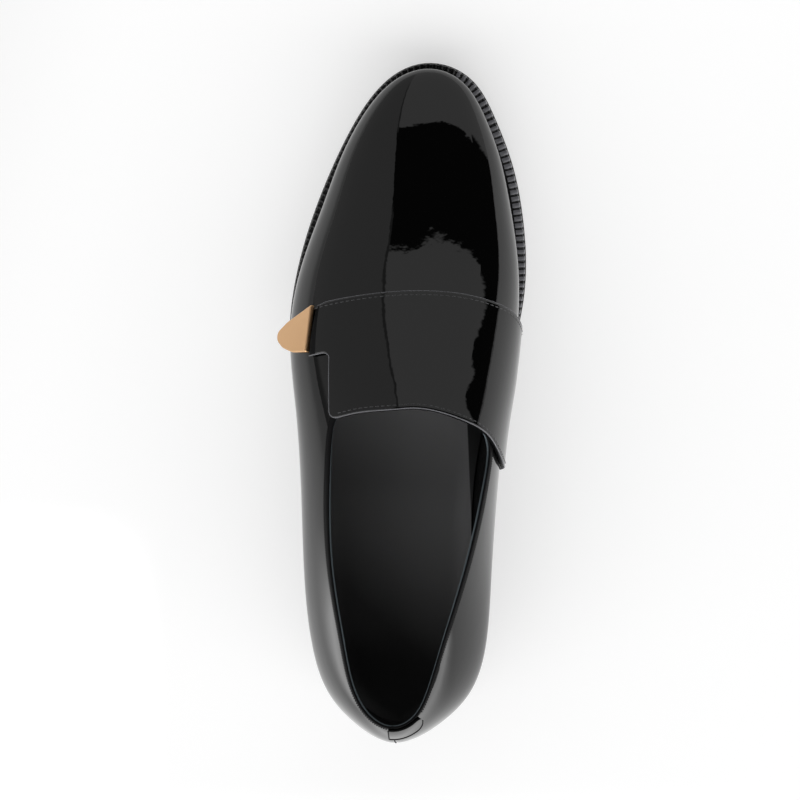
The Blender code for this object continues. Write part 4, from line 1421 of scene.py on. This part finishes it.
def studio_world():
    """Soft light from all round, with an unlit ceiling between the front, side and rear lights."""
    world = bpy.data.worlds.new("studio_light")
    world.use_nodes = True
    tree = world.node_tree
    ray = add_node(tree, "ShaderNodeTexCoord").outputs["Generated"]
    height = add_node(tree, "ShaderNodeSeparateXYZ", {"Vector": ray})
    tilt = add_node(tree, "ShaderNodeMath", {0: height.outputs["Z"]}, operation="ARCCOSINE")
    flat = add_node(tree, "ShaderNodeVectorMath", {0: ray, 1: (1, 1, 0)}, operation="MULTIPLY")
    heading = add_node(tree, "ShaderNodeVectorMath", {0: flat.outputs["Vector"]}, operation="NORMALIZE")
    place = add_node(tree, "ShaderNodeVectorMath", {0: heading.outputs["Vector"],
                                                    "Scale": tilt.outputs["Value"]}, operation="SCALE")
    split = add_node(tree, "ShaderNodeSeparateXYZ", {"Vector": place.outputs["Vector"]})
    angles = {"across": split.outputs["X"], "along": split.outputs["Y"], "tilt": tilt.outputs["Value"]}
    light = FRONT_LIGHT
    for panel in PANELS:
        cover = 1.0
        for angle, outside, inside in panel.bounds:
            edge = add_node(tree, "ShaderNodeMapRange",
                            {"Value": angles[angle], "From Min": math.radians(outside),
                             "From Max": math.radians(inside), "To Max": cover},
                            interpolation_type="SMOOTHSTEP")
            cover = edge.outputs["Result"]
        mix = add_node(tree, "ShaderNodeMapRange", {"Value": cover, "To Min": light, "To Max": panel.light})
        light = mix.outputs["Result"]
    tree.links.new(light, tree.nodes["Background"].inputs["Strength"])
    tree.nodes["Background"].inputs["Color"].default_value = (1, 1, 1, 1)
    return world


class LOAFER_OT_stage(bpy.types.Operator):
    """Lay the floor, light the studio and place the camera"""
    bl_idname = "loafer.stage"
    bl_label = "Set the stage"

    def execute(self, context):
        stage = context.scene.loafer_stage
        turns = np.arange(FLOOR_POINTS) * FULL_TURN / FLOOR_POINTS
        ring = np.column_stack([np.cos(turns), np.sin(turns), np.zeros(FLOOR_POINTS)])
        mesh = bpy.data.meshes.new("studio_floor")
        mesh.from_pydata((ring * stage.floor_radius).tolist(), [], [list(range(FLOOR_POINTS))])
        mesh.materials.append(floor_paint(context.scene.loafer_colours))
        floor = bpy.data.objects.new("studio_floor", mesh)
        context.scene.collection.objects.link(floor)
        context.scene.world = studio_world()
        context.scene.view_settings.view_transform = "Standard"
        place_camera(context.scene)
        return {"FINISHED"}


def place_camera(scene):
    """Look down from over the inner side of the forefoot, with the toe up in the picture."""
    stage = scene.loafer_stage
    camera = bpy.data.cameras.new("camera")
    eye = Vector((stage.camera_medial, stage.camera_toe, stage.camera_height))
    low, high = (Vector(corner) for corner in CAD_BOX)
    target = (low + high) / 2
    back = (eye - target).normalized()
    right = Vector((0, 1, 0)).cross(back).normalized()
    up = back.cross(right)
    camera.sensor_fit = "HORIZONTAL"
    camera.angle = 2 * math.atan(stage.view_width / 2 / (eye - target).length)
    holder = bpy.data.objects.new("camera", camera)
    holder.matrix_world = Matrix.Translation(eye) @ Matrix((right, up, back)).transposed().to_4x4()
    scene.collection.objects.link(holder)
    scene.camera = holder


class LOAFER_PT_panel(bpy.types.Panel):
    """The loafer's sizes, colours and makers"""
    bl_label = "Patent Leather Loafer"
    bl_idname = "LOAFER_PT_panel"
    bl_space_type = "VIEW_3D"
    bl_region_type = "UI"
    bl_category = "Loafer"

    def draw(self, context):
        for group in (context.scene.loafer_sizes, context.scene.loafer_colours, context.scene.loafer_stage):
            box = self.layout.box()
            for name in group.__annotations__:
                box.prop(group, name)
        for operator in OPERATORS:
            self.layout.operator(operator.bl_idname)


GROUPS = {"loafer_sizes": LoaferSizes, "loafer_colours": LoaferColours, "loafer_stage": LoaferStage}
OPERATORS = (
    LOAFER_OT_upper,
    LOAFER_OT_lining,
    LOAFER_OT_strap,
    LOAFER_OT_tip,
    LOAFER_OT_back_strip,
    LOAFER_OT_stitching,
    LOAFER_OT_sole,
    LOAFER_OT_welt,
    LOAFER_OT_sock,
    LOAFER_OT_stage,
)


def register():
    for kind in (*GROUPS.values(), *OPERATORS, LOAFER_PT_panel):
        bpy.utils.register_class(kind)
    for name, kind in GROUPS.items():
        setattr(bpy.types.Scene, name, bpy.props.PointerProperty(type=kind))


def unregister():
    for name in GROUPS:
        delattr(bpy.types.Scene, name)
    for kind in (LOAFER_PT_panel, *reversed(OPERATORS), *reversed(GROUPS.values())):
        bpy.utils.unregister_class(kind)


def main():
    """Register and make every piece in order."""
    register()
    bpy.ops.loafer.upper()
    bpy.ops.loafer.lining()
    bpy.ops.loafer.strap()
    bpy.ops.loafer.tip()
    bpy.ops.loafer.back_strip()
    bpy.ops.loafer.stitching()
    bpy.ops.loafer.sole()
    bpy.ops.loafer.welt()
    bpy.ops.loafer.sock()
    bpy.ops.loafer.stage()


if __name__ == "__main__":
    main()
